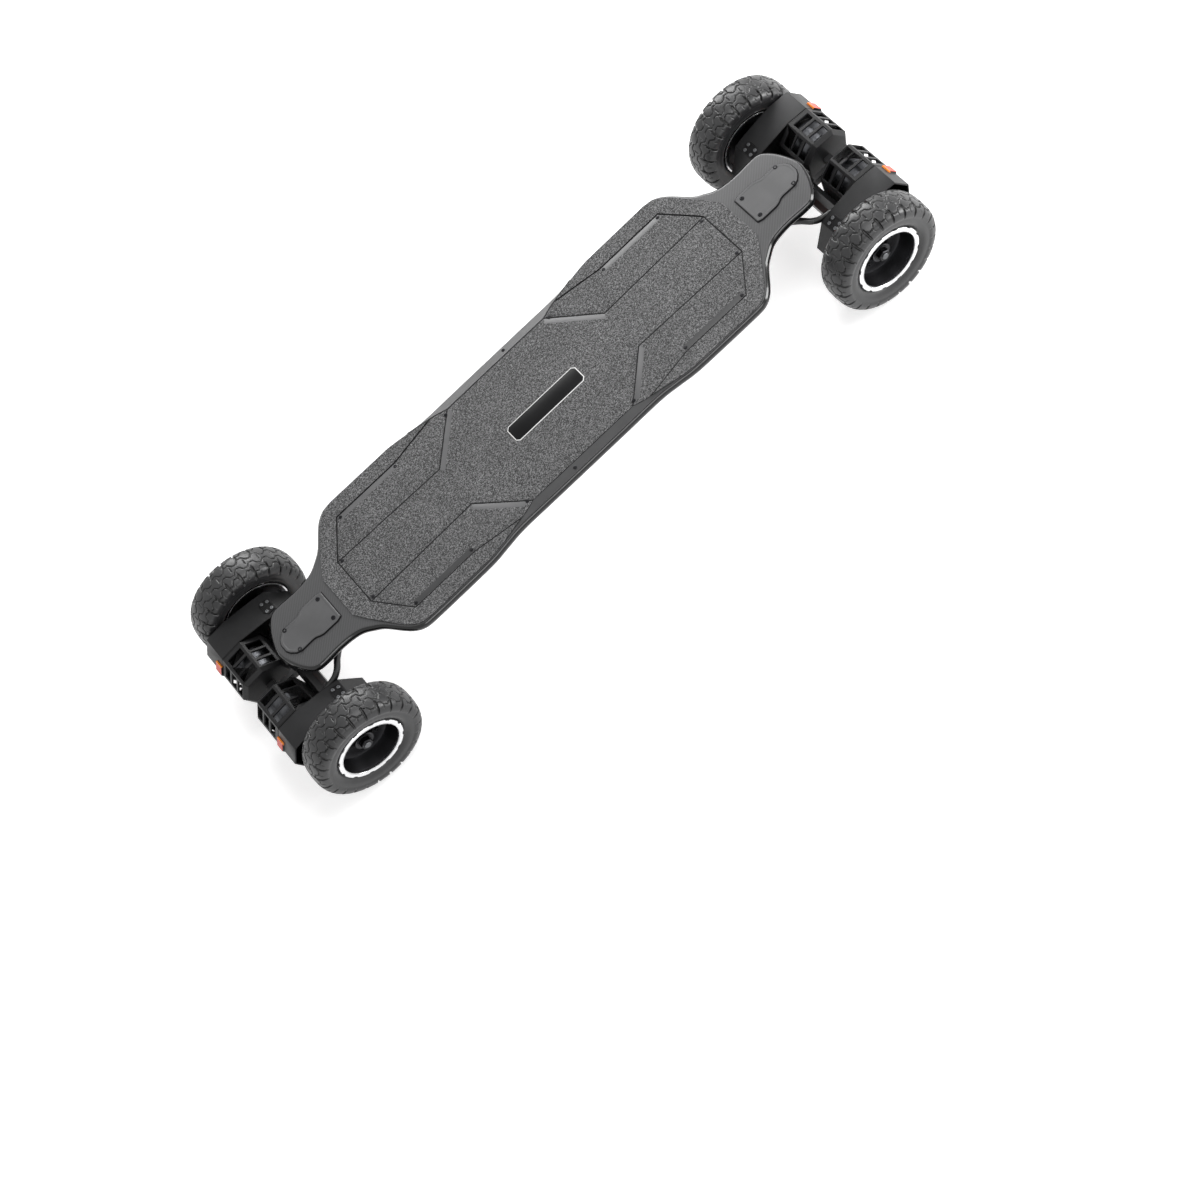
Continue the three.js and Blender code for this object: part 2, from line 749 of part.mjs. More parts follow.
function hangerGeometry() {
  const halfLength = housingInner - gap;
  const barFront = Math.min(...guardOutline.map(([x]) => x)) - hanger.guardGap;
  const barMiddle = (hanger.back + barFront) / 2;
  const ringTop = stackFoot + outerPin.ringThickness;
  const yokeStart = pointAlong(outerFoot, pinWay, stackFoot);
  const yokeEnd = pointAlong(outerFoot, pinWay, ringTop);
  const yokeUnder = yokeStart.z + (barMiddle - yokeStart.x) * Math.tan(tilt);
  const top = yokeUnder + hanger.yokeLip;
  const bar = across([
    [hanger.back + hanger.chamfer, hanger.bottom], [barFront - hanger.chamfer, hanger.bottom],
    [barFront, hanger.bottom + hanger.chamfer], [barFront, top - hanger.chamfer],
    [barFront - hanger.chamfer, top], [hanger.back + hanger.chamfer, top],
    [hanger.back, top - hanger.chamfer], [hanger.back, hanger.bottom + hanger.backFoot],
  ], -halfLength, halfLength);
  const eye = rodAlong(ring.radius, outerFoot, pinWay, stackFoot, ringTop);
  const yoke = across([
    [yokeStart.x, yokeStart.z], [barMiddle, yokeUnder],
    [barMiddle, top], [hanger.back, top], [yokeEnd.x, yokeEnd.z],
  ], -hanger.yokeHalfWidth, hanger.yokeHalfWidth);
  const stubBlock = block(
    hanger.stubBlockBack, hanger.stubBlockFront,
    -hanger.stubBlockHalfWidth, hanger.stubBlockHalfWidth,
    top - hanger.chamfer, hanger.stubBlockTop,
  );
  const cupFace = pointAlong(outerPivot, leanWay, link.cupStart - 2 * gap);
  const stubBlockTrim = rodAlong(halfLength, cupFace, leanWay, 0, halfLength);
  const stub = rodAlong(hanger.stubRadius, outerPivot, leanWay, hanger.stubStart, hanger.stubEnd, smallSides);
  const stay = block(
    barMiddle, hanger.stayEnd, -hanger.stayHalfWidth, hanger.stayHalfWidth,
    hanger.stayBottom, hanger.stayTop,
  );
  const stayHalf = guard.inner - gap;
  const stayCross = block(
    hanger.stayEnd - hanger.stayCrossLength, hanger.stayEnd, -stayHalf, stayHalf,
    hanger.stayBottom, hanger.stayTop,
  );
  const reach = halfLength + overrun;
  return cut(
    join(bar, eye, yoke, cut(stubBlock, stubBlockTrim), stub, stay, stayCross),
    rodAcross(axleBore, -reach, reach, 0, 0, smallSides),
    rodAlong(ringBore, outerFoot, pinWay, -overrun, ringTop + overrun, roundSides),
    rodAlong(hanger.notchRadius, outerFoot, pinWay, -2 * overrun, stackFoot),
  );
}

function kingpinGeometry(foot, length) {
  const washerEnd = kingpin.nutLength + kingpin.washerLength;
  const nutEnd = kingpin.nutLength + kingpin.washerLength / 2;
  const nut = rodAlong(kingpin.nutRadius, foot, pinWay, 0, nutEnd, nutSides);
  const rest = alongWay(turnedSolid([
    [kingpin.radius, kingpin.nutLength / 2], [kingpin.radius, kingpin.nutLength],
    [kingpin.washerRadius, kingpin.nutLength], [kingpin.washerRadius, washerEnd],
    [kingpin.radius, washerEnd], [kingpin.radius, length - kingpin.headLength],
    [kingpin.headRadius, length - kingpin.headLength], [kingpin.headRadius, length],
  ], roundSides), foot, pinWay);
  return join(nut, rest);
}

function bushingsGeometry(foot, pin) {
  const bore = kingpin.radius + gap;
  const low = kingpin.nutLength + kingpin.washerLength + gap;
  const lowEnd = low + bushing.length;
  const high = stackFoot + pin.ringThickness + gap;
  const highEnd = stackFoot + pin.ringThickness + pin.upperGap - gap;
  return alongWay(turned([
    [bore, low], [bushing.endRadius, low], [bushing.radius, (low + lowEnd) / 2],
    [bushing.endRadius, lowEnd], [bushing.neckRadius, lowEnd], [bushing.neckRadius, high],
    [bushing.topRadius, high], [bushing.topEndRadius, highEnd], [bore, highEnd],
  ], roundSides), foot, pinWay);
}

function linkGeometry() {
  const ringTop = stackFoot + innerPin.ringThickness;
  const plateLow = pointAlong(innerFoot, pinWay, stackFoot);
  const plateHigh = pointAlong(innerFoot, pinWay, ringTop);
  const slope = Math.tan(tilt);
  const topCorner = plateHigh.x + (link.top - plateHigh.z) / slope;
  const floorCorner = plateLow.x + (link.armFloor - plateLow.z) / slope;
  const plate = across([
    [plateLow.x, plateLow.z], [floorCorner, link.armFloor], [topCorner, link.armFloor],
    [topCorner, link.top], [plateHigh.x, plateHigh.z],
  ], -link.halfWidth, link.halfWidth);
  const cupFace = pointAlong(outerPivot, leanWay, link.cupStart);
  const steep = Math.tan(leanAngle);
  const cupFoot = cupFace.x + (cupFace.z - link.lugFloor) * steep;
  const cupTop = cupFace.x - (link.armFloor - cupFace.z) * steep;
  const arm = across([
    [topCorner - link.armOverlap, link.armFloor], [cupTop, link.armFloor],
    [cupFoot, link.lugFloor], [link.front, link.lugFloor],
    [link.front, link.top], [topCorner - link.armOverlap, link.top],
  ], -link.armHalfWidth, link.armHalfWidth);
  const eye = rodAlong(ring.radius, innerFoot, pinWay, stackFoot, ringTop);
  const bossLow = stackFoot + outerPin.ringThickness + outerPin.upperGap;
  const boss = rodAlong(link.bossRadius, outerFoot, pinWay, bossLow, outerLength - kingpin.headLength);
  const neck = across([
    [plateHigh.x - link.stubHalfWidth, plateHigh.z - link.stubHalfWidth * slope],
    ...neckOutline(), [plateLow.x - link.halfWidth + 2 * gap, plateLow.z - link.stubHalfWidth],
  ], -link.stubHalfWidth, link.stubHalfWidth);
  const stub = rodAlong(link.stubRadius, innerPivot, leanWay, -link.stubEnd, -link.stubStart, smallSides);
  const headSeat = outerLength - kingpin.headLength - gap;
  return cut(
    join(plate, arm, eye, boss, neck, stub),
    rodAlong(ringBore, innerFoot, pinWay, -overrun, ringTop + overrun),
    rodAlong(boreFor(kingpin.radius), outerFoot, pinWay, 0, outerLength + overrun, smallSides),
    rodAlong(kingpin.headRadius + gap, outerFoot, pinWay, headSeat, outerLength + 2 * overrun),
    rodAlong(hanger.stubRadius + gap, outerPivot, leanWay, 0, hanger.stubEnd + 2 * gap, smallSides),
  );
}

// The link's inner end, from its eye down to the stub that sits in the base plate's cup
function neckOutline() {
  const shares = [[1.31, 0.16], [1.41, 0.59], [1.07, 1.12], [0.84, 0.66]];
  return shares.map(([back, down]) => [
    innerPivot.x - link.halfWidth * back,
    innerPivot.z - link.halfWidth * down,
  ]);
}

function basePlateGeometry() {
  const top = deck.rise - gap;
  const bottom = top - basePlate.thickness;
  const cupFace = pointAlong(innerPivot, leanWay, -basePlate.lugStart);
  const steep = Math.tan(leanAngle);
  const cupTop = cupFace.x - (bottom - cupFace.z) * steep;
  const lugBack = cupTop - basePlate.lugMargin;
  const lugFloor = cupFace.z - basePlate.lugDepth;
  const back = lugBack - basePlate.backMargin;
  const plate = block(
    back, basePlate.front, -basePlate.halfWidth, basePlate.halfWidth, bottom, top,
  );
  const wings = [[basePlate.wingInner, basePlate.halfWidth], [-basePlate.halfWidth, -basePlate.wingInner]];
  const wingBlocks = wings.map(([low, high]) => (
    block(basePlate.front - overrun, basePlate.wingFront, low, high, bottom, top)
  ));
  const upperStart = stackFoot + innerPin.ringThickness;
  const bossStart = upperStart + innerPin.upperGap;
  const boss = rodAlong(basePlate.bossRadius, innerFoot, pinWay, bossStart, innerLength + overrun);
  const bossKept = clip(boss, block(
    back, basePlate.wingFront, -basePlate.halfWidth, basePlate.halfWidth,
    bottom - 2 * overrun, top,
  ));
  const seat = rodAlong(basePlate.bossRadius + gap, innerFoot, pinWay, stackFoot, bossStart);
  const lug = across([
    [lugBack, bottom + overrun / 2], [lugBack, lugFloor + overrun],
    [lugBack + overrun, lugFloor], [cupFace.x, lugFloor],
    [cupFace.x + (cupFace.z - lugFloor - overrun) * steep, lugFloor + overrun],
    [cupTop, bottom], [cupTop, bottom + overrun / 2],
  ], -basePlate.lugHalfWidth, basePlate.lugHalfWidth);
  const headSeat = innerLength - kingpin.headLength - gap;
  return cut(
    join(cut(plate, seat), ...wingBlocks, bossKept, lug),
    rodAlong(boreFor(kingpin.radius), innerFoot, pinWay, 0, innerLength + overrun, smallSides),
    rodAlong(kingpin.headRadius + gap, innerFoot, pinWay, headSeat, innerLength + 2 * overrun),
    rodAlong(link.stubRadius + gap, innerPivot, leanWay, -link.stubEnd - 2 * gap, 0, smallSides),
  );
}

function axleGeometry() {
  const nutStart = wheelOut + hub.bossOuter + gap;
  const tip = nutStart + axle.nutLength + axle.tipLength;
  const rod = rodAcross(axle.radius, -tip, tip, 0, 0, smallSides);
  const nuts = [1, -1].map((side) => {
    const [low, high] = [side * nutStart, side * (nutStart + axle.nutLength)].sort((a, b) => a - b);
    return rodAcross(axle.nutRadius, low, high, 0, 0, nutSides);
  });
  return join(rod, ...nuts);
}

function leadsGeometry() {
  const loop = leadLoop.map(([ahead, up], i) => [ahead, housingInner * leadLoopShares[i], up]);
  const route = [...loop, ...leadRun];
  const left = route.map(([x, y, z]) => new THREE.Vector3(x, y, z));
  const right = [...route].reverse().map(([x, y, z]) => new THREE.Vector3(x, -y, z));
  const curve = new THREE.CatmullRomCurve3([...left, ...right], false, 'centripetal');
  const section = new THREE.Shape();
  for (let i = 0; i < lead.sides; i += 1) {
    const angle = 2 * Math.PI * i / lead.sides;
    const [x, y] = [lead.radius * Math.cos(angle), lead.radius * Math.sin(angle)];
    if (i === 0) section.moveTo(x, y);
    else section.lineTo(x, y);
  }
  return new THREE.ExtrudeGeometry(section, { steps: lead.steps, extrudePath: curve });
}

// Deck, grip and tray

function deckGeometry() {
  const outline = fourWay(deckShares.map(([along, out]) => [deckHalfLength * along, deck.halfWidth * out]));
  const levels = [
    [deckBottom, deck.bottomInset], [deckBottom + deck.railRise, deck.railInset],
    [deckBottom + deck.edgeRise, 0], [deckTop - deck.topRise, 0], [deckTop, deck.topInset],
  ];
  return loft(levels.map(([z, inward]) => inset(outline, inward).map(([x, y]) => [x, y, z])));
}

function gripGeometry() {
  const bottom = deckTop + gap;
  const outline = fourWay(gripShares.map(([along, out]) => [deckHalfLength * along, deck.halfWidth * out]));
  const levels = [[bottom, 0], [bottom + grip.thickness, grip.edgeInset]];
  return loft(levels.map(([z, inward]) => inset(outline, inward).map(([x, y]) => [x, y, z])));
}

function trayRing(z, wide, long) {
  const quarter = [
    [traySide + long, tray.halfWidth + wide],
    [trayCorner + long, tray.halfWidth * trayCornerShare + wide / 2],
    [trayEnd + long, tray.halfWidth * trayEndShare + wide / 2],
  ];
  return fourWay(quarter).map(([x, y]) => [x, y, z]);
}

function hatchOutline(side) {
  const half = hatchBacks.map((back, i) => [trayEnd - back, tray.halfWidth * hatchOutShares[i]]);
  const other = [...half].reverse().map(([x, y]) => [x, -y]);
  return [...half, ...other].map(([x, y]) => [side * x, y]);
}

function trayGeometry() {
  const flange = deckBottom - gap;
  const shell = loft([
    trayRing(trayFloor, 0, 0),
    trayRing(trayFloor + tray.wallRise, tray.wallStep, tray.wallStep),
    trayRing(flange - tray.flangeRise, tray.wallStep, 2 * tray.wallStep),
    trayRing(flange, tray.wallStep + tray.flangeStep, 2 * tray.wallStep + tray.flangeLead),
  ]);
  const hollow = loft([
    trayRing(trayFloor + tray.floorThickness, -tray.wallThickness / 2, -tray.wallThickness),
    trayRing(flange + overrun, -tray.wallThickness / 2, -tray.wallThickness),
  ]);
  const recesses = [1, -1].map((side) => upright(
    inset(hatchOutline(side), -gap), trayFloor - overrun, trayFloor + hatchThickness + gap,
  ));
  const glandStart = trayCorner - tray.wallThickness;
  const glandEnd = trayEnd + 2 * tray.wallStep + tray.flangeLead + 2 * overrun;
  const glands = [1, -1].flatMap((end) => [1, -1].map((side) => rodAlong(
    lead.gland, new THREE.Vector3(0, side * lead.glandOut, axleHeight + lead.glandUp),
    new THREE.Vector3(end, 0, 0), glandStart, glandEnd, smallSides,
  )));
  const wallIn = tray.halfWidth - tray.wallThickness;
  const wallOut = tray.halfWidth + tray.wallStep + overrun;
  const holes = [
    rodAcross(port.radius + gap, wallIn, wallOut, portAhead, portHeight),
    rodAcross(button.radius + gap, wallIn, wallOut, buttonAhead, portHeight),
  ];
  return cut(shell, hollow, ...recesses, ...glands, ...holes);
}

function hatchGeometry(side) {
  return upright(hatchOutline(side), trayFloor, trayFloor + hatchThickness);
}

function batteryGeometry() {
  const bottom = trayFloor + tray.floorThickness + gap;
  const start = battery.endGap - traySide;
  const halfWidth = tray.halfWidth - battery.sideGap;
  const outline = [
    [start, -halfWidth], [battery.end, -halfWidth], [battery.end, halfWidth], [start, halfWidth],
  ];
  const top = deckBottom - battery.roomAbove;
  const levels = [[bottom, 0], [top - battery.chamfer, 0], [top, battery.chamfer]];
  return loft(levels.map(([z, inward]) => inset(outline, inward).map(([x, y]) => [x, y, z])));
}

function controllerGeometry() {
  const bottom = trayFloor + tray.floorThickness + gap;
  const top = bottom + controller.height;
  const finish = traySide - controller.endGap;
  const halfWidth = tray.halfWidth - controller.sideGap;
  const pitch = (finish - controller.start) / controller.fins;
  const outline = [[controller.start, bottom], [finish, bottom], [finish, top]];
  for (let i = controller.fins - 1; i >= 0; i -= 1) {
    const start = controller.start + pitch * (i + (1 - finShare) / 2);
    const end = start + pitch * finShare;
    const crest = top + controller.finRise;
    outline.push([end, top], [end, crest], [start, crest], [start, top]);
  }
  outline.push([controller.start, top]);
  return across(outline, -halfWidth, halfWidth);
}

// Charge port, cap and button on the left wall of the tray

const wallFace = tray.halfWidth + tray.wallStep;
const flangeOuter = wallFace + gap + port.flangeThickness;

function portGeometry() {
  const inner = tray.halfWidth - port.innerStep;
  const barrel = rodAcross(port.radius, inner, flangeOuter, portAhead, portHeight);
  const flange = block(
    portAhead - port.flangeHalfLength, portAhead + port.flangeHalfLength + port.flangeForward / 2,
    wallFace + gap, flangeOuter,
    portHeight - port.flangeHalfHeight, portHeight + port.flangeHalfHeight,
  );
  const bore = rodAcross(port.bore, inner + port.floor, flangeOuter + overrun, portAhead, portHeight);
  return cut(join(barrel, flange), bore);
}

const capHinge = new THREE.Vector3(
  portAhead + cap.hingeForward, flangeOuter + gap + cap.hingeRadius, portHeight,
);

function capGeometry() {
  const face = flangeOuter + gap;
  const disc = rodAcross(cap.radius, face, face + cap.thickness, portAhead, portHeight);
  const plug = rodAcross(
    cap.plugRadius, face - gap - cap.plugLength, face + gap, portAhead, portHeight, smallSides,
  );
  const strap = block(
    portAhead, capHinge.x, face, face + 2 * cap.hingeRadius,
    portHeight - cap.strapHalfHeight, portHeight + cap.strapHalfHeight,
  );
  const barrel = rodAlong(
    cap.hingeRadius, capHinge, new THREE.Vector3(0, 0, 1), -cap.strapHalfHeight, cap.strapHalfHeight,
    smallSides,
  );
  return join(disc, plug, strap, barrel);
}

function buttonGeometry() {
  const outer = wallFace + button.proud;
  return rodAcross(button.radius, outer - button.length, outer, buttonAhead, portHeight);
}

// Assembly

const board = new THREE.Group();

function piece(name, geometry, colour, parent = board) {
  const flat = geometry.index ? geometry.toNonIndexed() : geometry.clone();
  flat.computeVertexNormals();
  const mesh = new THREE.Mesh(flat, new THREE.MeshStandardMaterial(colours[colour]));
  mesh.name = name;
  parent.add(mesh);
  return mesh;
}

function atWheel(mesh, side) {
  mesh.position.set(0, side * wheelOut, 0);
}

function atMotor(mesh) {
  mesh.position.set(motorAhead, 0, motorHeight);
}

function addCorner(truck, end, side) {
  const onSide = (geometry) => (side > 0 ? geometry : mirrored(geometry));
  const hand = side * end.way > 0 ? 'left' : 'right';
  const name = (part) => `${end.name}_${hand}_${part}`;
  atWheel(piece(name('tyre'), onSide(tyreGeometry()), 'rubber', truck), side);
  atWheel(piece(name('wheel_hub'), onSide(hubGeometry()), 'hub', truck), side);
  atWheel(piece(name('bead_ring'), onSide(beadRingGeometry()), 'silver', truck), side);
  atWheel(piece(name('wheel_gear'), onSide(wheelGearGeometry()), 'steel', truck), side);
  atMotor(piece(name('motor_rotor'), onSide(rotorGeometry()), 'motor', truck));
  piece(name('motor_guard'), onSide(guardGeometry()), 'guard', truck);
  piece(name('drive_housing'), onSide(housingGeometry()), 'guard', truck);
  piece(name('skid_pad'), onSide(skidPadGeometry()), 'orange', truck);
}

function addTruck(end) {
  const truck = new THREE.Group();
  truck.position.set(end.way * axleAhead, 0, axleHeight);
  truck.rotation.z = end.way > 0 ? 0 : Math.PI;
  board.add(truck);
  piece(`${end.name}_baseplate`, basePlateGeometry(), 'blackMetal', truck);
  piece(`${end.name}_link`, linkGeometry(), 'blackMetal', truck);
  piece(`${end.name}_hanger`, hangerGeometry(), 'blackMetal', truck);
  piece(`${end.name}_axle`, axleGeometry(), 'steel', truck);
  piece(`${end.name}_outer_kingpin`, kingpinGeometry(outerFoot, outerLength), 'blackMetal', truck);
  piece(`${end.name}_inner_kingpin`, kingpinGeometry(innerFoot, innerLength), 'blackMetal', truck);
  piece(`${end.name}_outer_bushings`, bushingsGeometry(outerFoot, outerPin), 'bushing', truck);
  piece(`${end.name}_inner_bushings`, bushingsGeometry(innerFoot, innerPin), 'bushing', truck);
  piece(`${end.name}_motor_leads`, leadsGeometry(), 'cable', truck);
  addCorner(truck, end, 1);
  addCorner(truck, end, -1);
}

piece('deck', deckGeometry(), 'deck');
piece('grip_pad', gripGeometry(), 'grip');
piece('battery_tray', trayGeometry(), 'tray');
piece('front_hatch', hatchGeometry(1), 'hatch');
piece('rear_hatch', hatchGeometry(-1), 'hatch');
piece('battery_pack', batteryGeometry(), 'battery');
piece('motor_controller', controllerGeometry(), 'controller');
piece('charge_port', portGeometry(), 'softRubber');
piece('port_cap', capGeometry(), 'softRubber');
piece('power_button', buttonGeometry(), 'softRubber');
addTruck({ name: 'front', way: 1 });
addTruck({ name: 'rear', way: -1 });

export default board;
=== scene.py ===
# %% [markdown]
# # An electric mountainboard, dressed for its portrait
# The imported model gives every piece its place. This lesson gives each piece its finished
# surface: the deck and its grip, the tray, the tyres, the motor cages and the trucks.
# Lengths are written in millimetres, as on a drawing, and turned to metres once.

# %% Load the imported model
import json
import math

import bmesh
import bpy
import numpy as np
from mathutils import Matrix, Vector


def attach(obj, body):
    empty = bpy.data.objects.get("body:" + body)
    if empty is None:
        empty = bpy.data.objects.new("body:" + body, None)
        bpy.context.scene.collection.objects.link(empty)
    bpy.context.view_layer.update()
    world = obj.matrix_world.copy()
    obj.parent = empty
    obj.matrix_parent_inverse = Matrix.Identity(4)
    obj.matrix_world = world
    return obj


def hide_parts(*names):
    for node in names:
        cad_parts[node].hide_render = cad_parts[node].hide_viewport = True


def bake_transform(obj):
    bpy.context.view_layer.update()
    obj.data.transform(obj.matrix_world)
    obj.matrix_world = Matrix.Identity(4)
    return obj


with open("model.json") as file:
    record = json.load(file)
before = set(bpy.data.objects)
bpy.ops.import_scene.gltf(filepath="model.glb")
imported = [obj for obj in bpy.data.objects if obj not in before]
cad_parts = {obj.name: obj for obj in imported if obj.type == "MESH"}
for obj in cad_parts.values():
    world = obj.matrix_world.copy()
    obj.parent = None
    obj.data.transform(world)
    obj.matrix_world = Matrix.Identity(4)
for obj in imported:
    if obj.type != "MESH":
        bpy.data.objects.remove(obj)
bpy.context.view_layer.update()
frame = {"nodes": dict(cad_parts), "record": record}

MM = 0.001
ENDS = {"front": 1, "rear": -1}
SIDES = {"left": 1, "right": -1}
CORNERS = [(f"{end}_{hand}_", way, side) for end, way in ENDS.items() for hand, side in SIDES.items()]
record = frame["record"]
body_of = {node: body for body, nodes in record["behaviour"]["bodies"].items() for node in nodes}

# %% [markdown]
# ## The camera
# The photo was taken with a long lens from above the right side of the board. The place
# and the turn were solved from the tyres, the deck's outline and the screws.

# %% Camera
CAMERA_PLACE = (-102.92, -1905.89, 2917.37)
CAMERA_TURN = (2.4490, -0.9723, -0.2693)
FOCAL_PIXELS = 2576.6
PHOTO_PIXELS = 1200
SENSOR_WIDTH = 36.0

turn_vector = Vector(CAMERA_TURN)
world_to_lens = Matrix.Rotation(turn_vector.length, 3, turn_vector.normalized())
lens_axes = world_to_lens.transposed()
right, down, forward = (lens_axes.col[i] for i in range(3))
camera_data = bpy.data.cameras.new("camera")
camera_data.sensor_width = SENSOR_WIDTH
camera_data.lens = FOCAL_PIXELS / PHOTO_PIXELS * SENSOR_WIDTH
camera_data.clip_end = 30
camera = bpy.data.objects.new("camera", camera_data)
bpy.context.scene.collection.objects.link(camera)
pose = Matrix((right, -down, -forward)).transposed().to_4x4()
pose.translation = Vector(CAMERA_PLACE) * MM
camera.matrix_world = pose
bpy.context.scene.camera = camera
print("lens", round(camera_data.lens, 1), "mm")

# %% [markdown]
# ## Small tools
# Colours are written as they look on a screen, and one function turns them to the linear
# values that Blender works in. One function adds a node, sets it and links it.


# %% Colour and node tools
def linear(hex_colour):
    """Screen value c becomes c/12.92 below 0.04, and ((c + 0.055)/1.055)^2.4 above."""
    shares = [int(hex_colour[i:i + 2], 16) / 255 for i in (1, 3, 5)]
    return [c / 12.92 if c <= 0.04045 else ((c + 0.055) / 1.055) ** 2.4 for c in shares] + [1.0]


def node(tree, kind, inputs=None, **settings):
    """Adds a node, sets its own settings, then fills or links its inputs."""
    made = tree.nodes.new(kind)
    for key, value in settings.items():
        setattr(made, key, value)
    for key, value in (inputs or {}).items():
        if isinstance(value, bpy.types.NodeSocket):
            tree.links.new(value, made.inputs[key])
        else:
            made.inputs[key].default_value = value
    return made


def new_finish(name, colour, roughness, metallic=0.0, **shader_values):
    """A material with its shader's plain values; returns material, tree, shader and place."""
    finish = bpy.data.materials.new(name)
    finish.use_nodes = True
    tree = finish.node_tree
    shader = tree.nodes["Principled BSDF"]
    shader.inputs["Base Color"].default_value = linear(colour)
    shader.inputs["Roughness"].default_value = roughness
    shader.inputs["Metallic"].default_value = metallic
    for key, value in shader_values.items():
        shader.inputs[key.replace("_", " ")].default_value = value
    place = node(tree, "ShaderNodeTexCoord").outputs["Object"]
    return finish, tree, shader, place


def grain(tree, place, size_mm, detail=2.0, roughness=0.5, stretch=(1, 1, 1)):
    """Noise whose lumps are size_mm across: its scale is one over the size in metres."""
    spot = node(tree, "ShaderNodeMapping", {"Vector": place, "Scale": stretch})
    return node(tree, "ShaderNodeTexNoise", {
        "Vector": spot.outputs["Vector"], "Scale": 1 / (size_mm * MM), "Detail": detail,
        "Roughness": roughness,
    }).outputs["Fac"]


def two_tones(tree, value, low, high, dark, light):
    """A ramp from the dark colour at low to the light one at high."""
    ramp = node(tree, "ShaderNodeValToRGB", {"Fac": value})
    first, second = ramp.color_ramp.elements
    first.position, second.position = low, high
    first.color, second.color = linear(dark), linear(light)
    return ramp.outputs["Color"]


def span(tree, value, low, high):
    """Maps a value from 0..1 to low..high."""
    return node(tree, "ShaderNodeMapRange", {
        "Value": value, "To Min": low, "To Max": high,
    }).outputs["Result"]


def maths(tree, operation, *values):
    """One step of arithmetic on numbers or sockets."""
    return node(tree, "ShaderNodeMath", dict(enumerate(values)), operation=operation).outputs[0]


def multiplied(tree, first, second):
    """Product of two colours."""
    return node(tree, "ShaderNodeMix", {0: 1.0, 6: first, 7: second},
                data_type="RGBA", blend_type="MULTIPLY").outputs[2]


def raise_skin(tree, shader, value, height_mm):
    """Bump of a real height in millimetres."""
    bump = node(tree, "ShaderNodeBump", {"Height": value, "Distance": height_mm * MM})
    tree.links.new(bump.outputs["Normal"], shader.inputs["Normal"])


# %% [markdown]
# ## The finishes
# Each finish starts from what the real one is. Moulded plastics have a fine spark-eroded
# grain, turned metals fine rings, and rubber a dusty bloom.


# %% Moulded, painted and rubber finishes
def moulded(name, colour, light, roughness, grain_mm=0.6, height_mm=0.03, **shader_values):
    """Injection-moulded or coated: two close tones, fine grain and uneven sheen."""
    finish, tree, shader, place = new_finish(name, colour, roughness, **shader_values)
    cloud = grain(tree, place, 40, 3)
    fine = grain(tree, place, grain_mm, 2)
    tree.links.new(two_tones(tree, cloud, 0.35, 0.7, colour, light), shader.inputs["Base Color"])
    tree.links.new(span(tree, cloud, roughness - 0.05, roughness + 0.08), shader.inputs["Roughness"])
    raise_skin(tree, shader, fine, height_mm)
    return finish


soft_rubber = moulded("silicone_rubber", "#121213", "#1c1c1d", 0.62, 0.5, 0.04)
cable_jacket = moulded("pvc_cable_jacket", "#0d0d0e", "#161617", 0.34, 1.2, 0.05)
sleeve_rubber = moulded("ribbed_sleeve_rubber", "#161617", "#1f1f20", 0.5, 0.6, 0.05)
# Glass-filled nylon has a dull skin, so it mirrors less than the other plastics.
cage_nylon = moulded("glass_filled_nylon", "#121213", "#1b1b1c", 0.42, 0.7, 0.05,
                     Specular_IOR_Level=0.25)
housing_nylon = moulded("moulded_housing_nylon", "#181819", "#222223", 0.38, 0.7, 0.05,
                        Specular_IOR_Level=0.25)
tray_plastic = moulded("satin_tray_plastic", "#3a3a3b", "#3f3f40", 0.3, Coat_Weight=0.3)
hatch_plastic = moulded("satin_hatch_plastic", "#404041", "#464647", 0.3, Coat_Weight=0.3)
plate_plastic = moulded("satin_plate_plastic", "#434344", "#4c4c4d", 0.42)
# Near-black: the housing covers' own colour, and painted shade on the plates' sides, the foot round each
# plate and the grip's gaps.
black_and_painted_shade = moulded("black_and_painted_shade_plastic", "#0a0a0b", "#101011", 0.55, Specular_IOR_Level=0.2)
edge_plastic = moulded("smooth_grip_bevel", "#4b4b4c", "#555556", 0.42, 0.5, 0.02)
# A darker copy of the smooth bevel: painted shade for the bevels at the right, which slope away from the
# light.
painted_shade_bevel = moulded("grip_bevel_painted_shade", "#2a2a2b", "#323233", 0.42, 0.5, 0.02)
badge_black = moulded("gloss_badge_black", "#0b0b0c", "#121213", 0.34, 3.0, 0.01,
                      Specular_IOR_Level=0.12)
rim_white = moulded("white_rim_paint", "#dededd", "#eeeeed", 0.4, 1.0, 0.01)
# Black satin powder coat over forged aluminium.
black_coat = moulded("black_powder_coat", "#19191a", "#262627", 0.36, 0.8, 0.05)
cover_grey = moulded("grey_cover_plate", "#5c5c5d", "#676768", 0.4, 0.8, 0.03)
blackened_steel = moulded("blackened_steel", "#1d1d1f", "#2b2b2d", 0.3, Metallic=0.9)
urethane = moulded("orange_urethane", "#e8501f", "#f26a3a", 0.36, 1.0, 0.03,
                   Subsurface_Weight=0.15, Subsurface_Scale=0.002)
shrink_wrap = moulded("pvc_shrink_wrap", "#1e3d5c", "#2a4d70", 0.3, 6.0, 0.2)
case_alloy = moulded("anodised_case_alloy", "#202225", "#2c2e31", 0.4, Metallic=1.0)


# %% A seam where each cage meets its housing
CAGE_END = 69.6
SEAM_HALF_WIDTH = 1.8


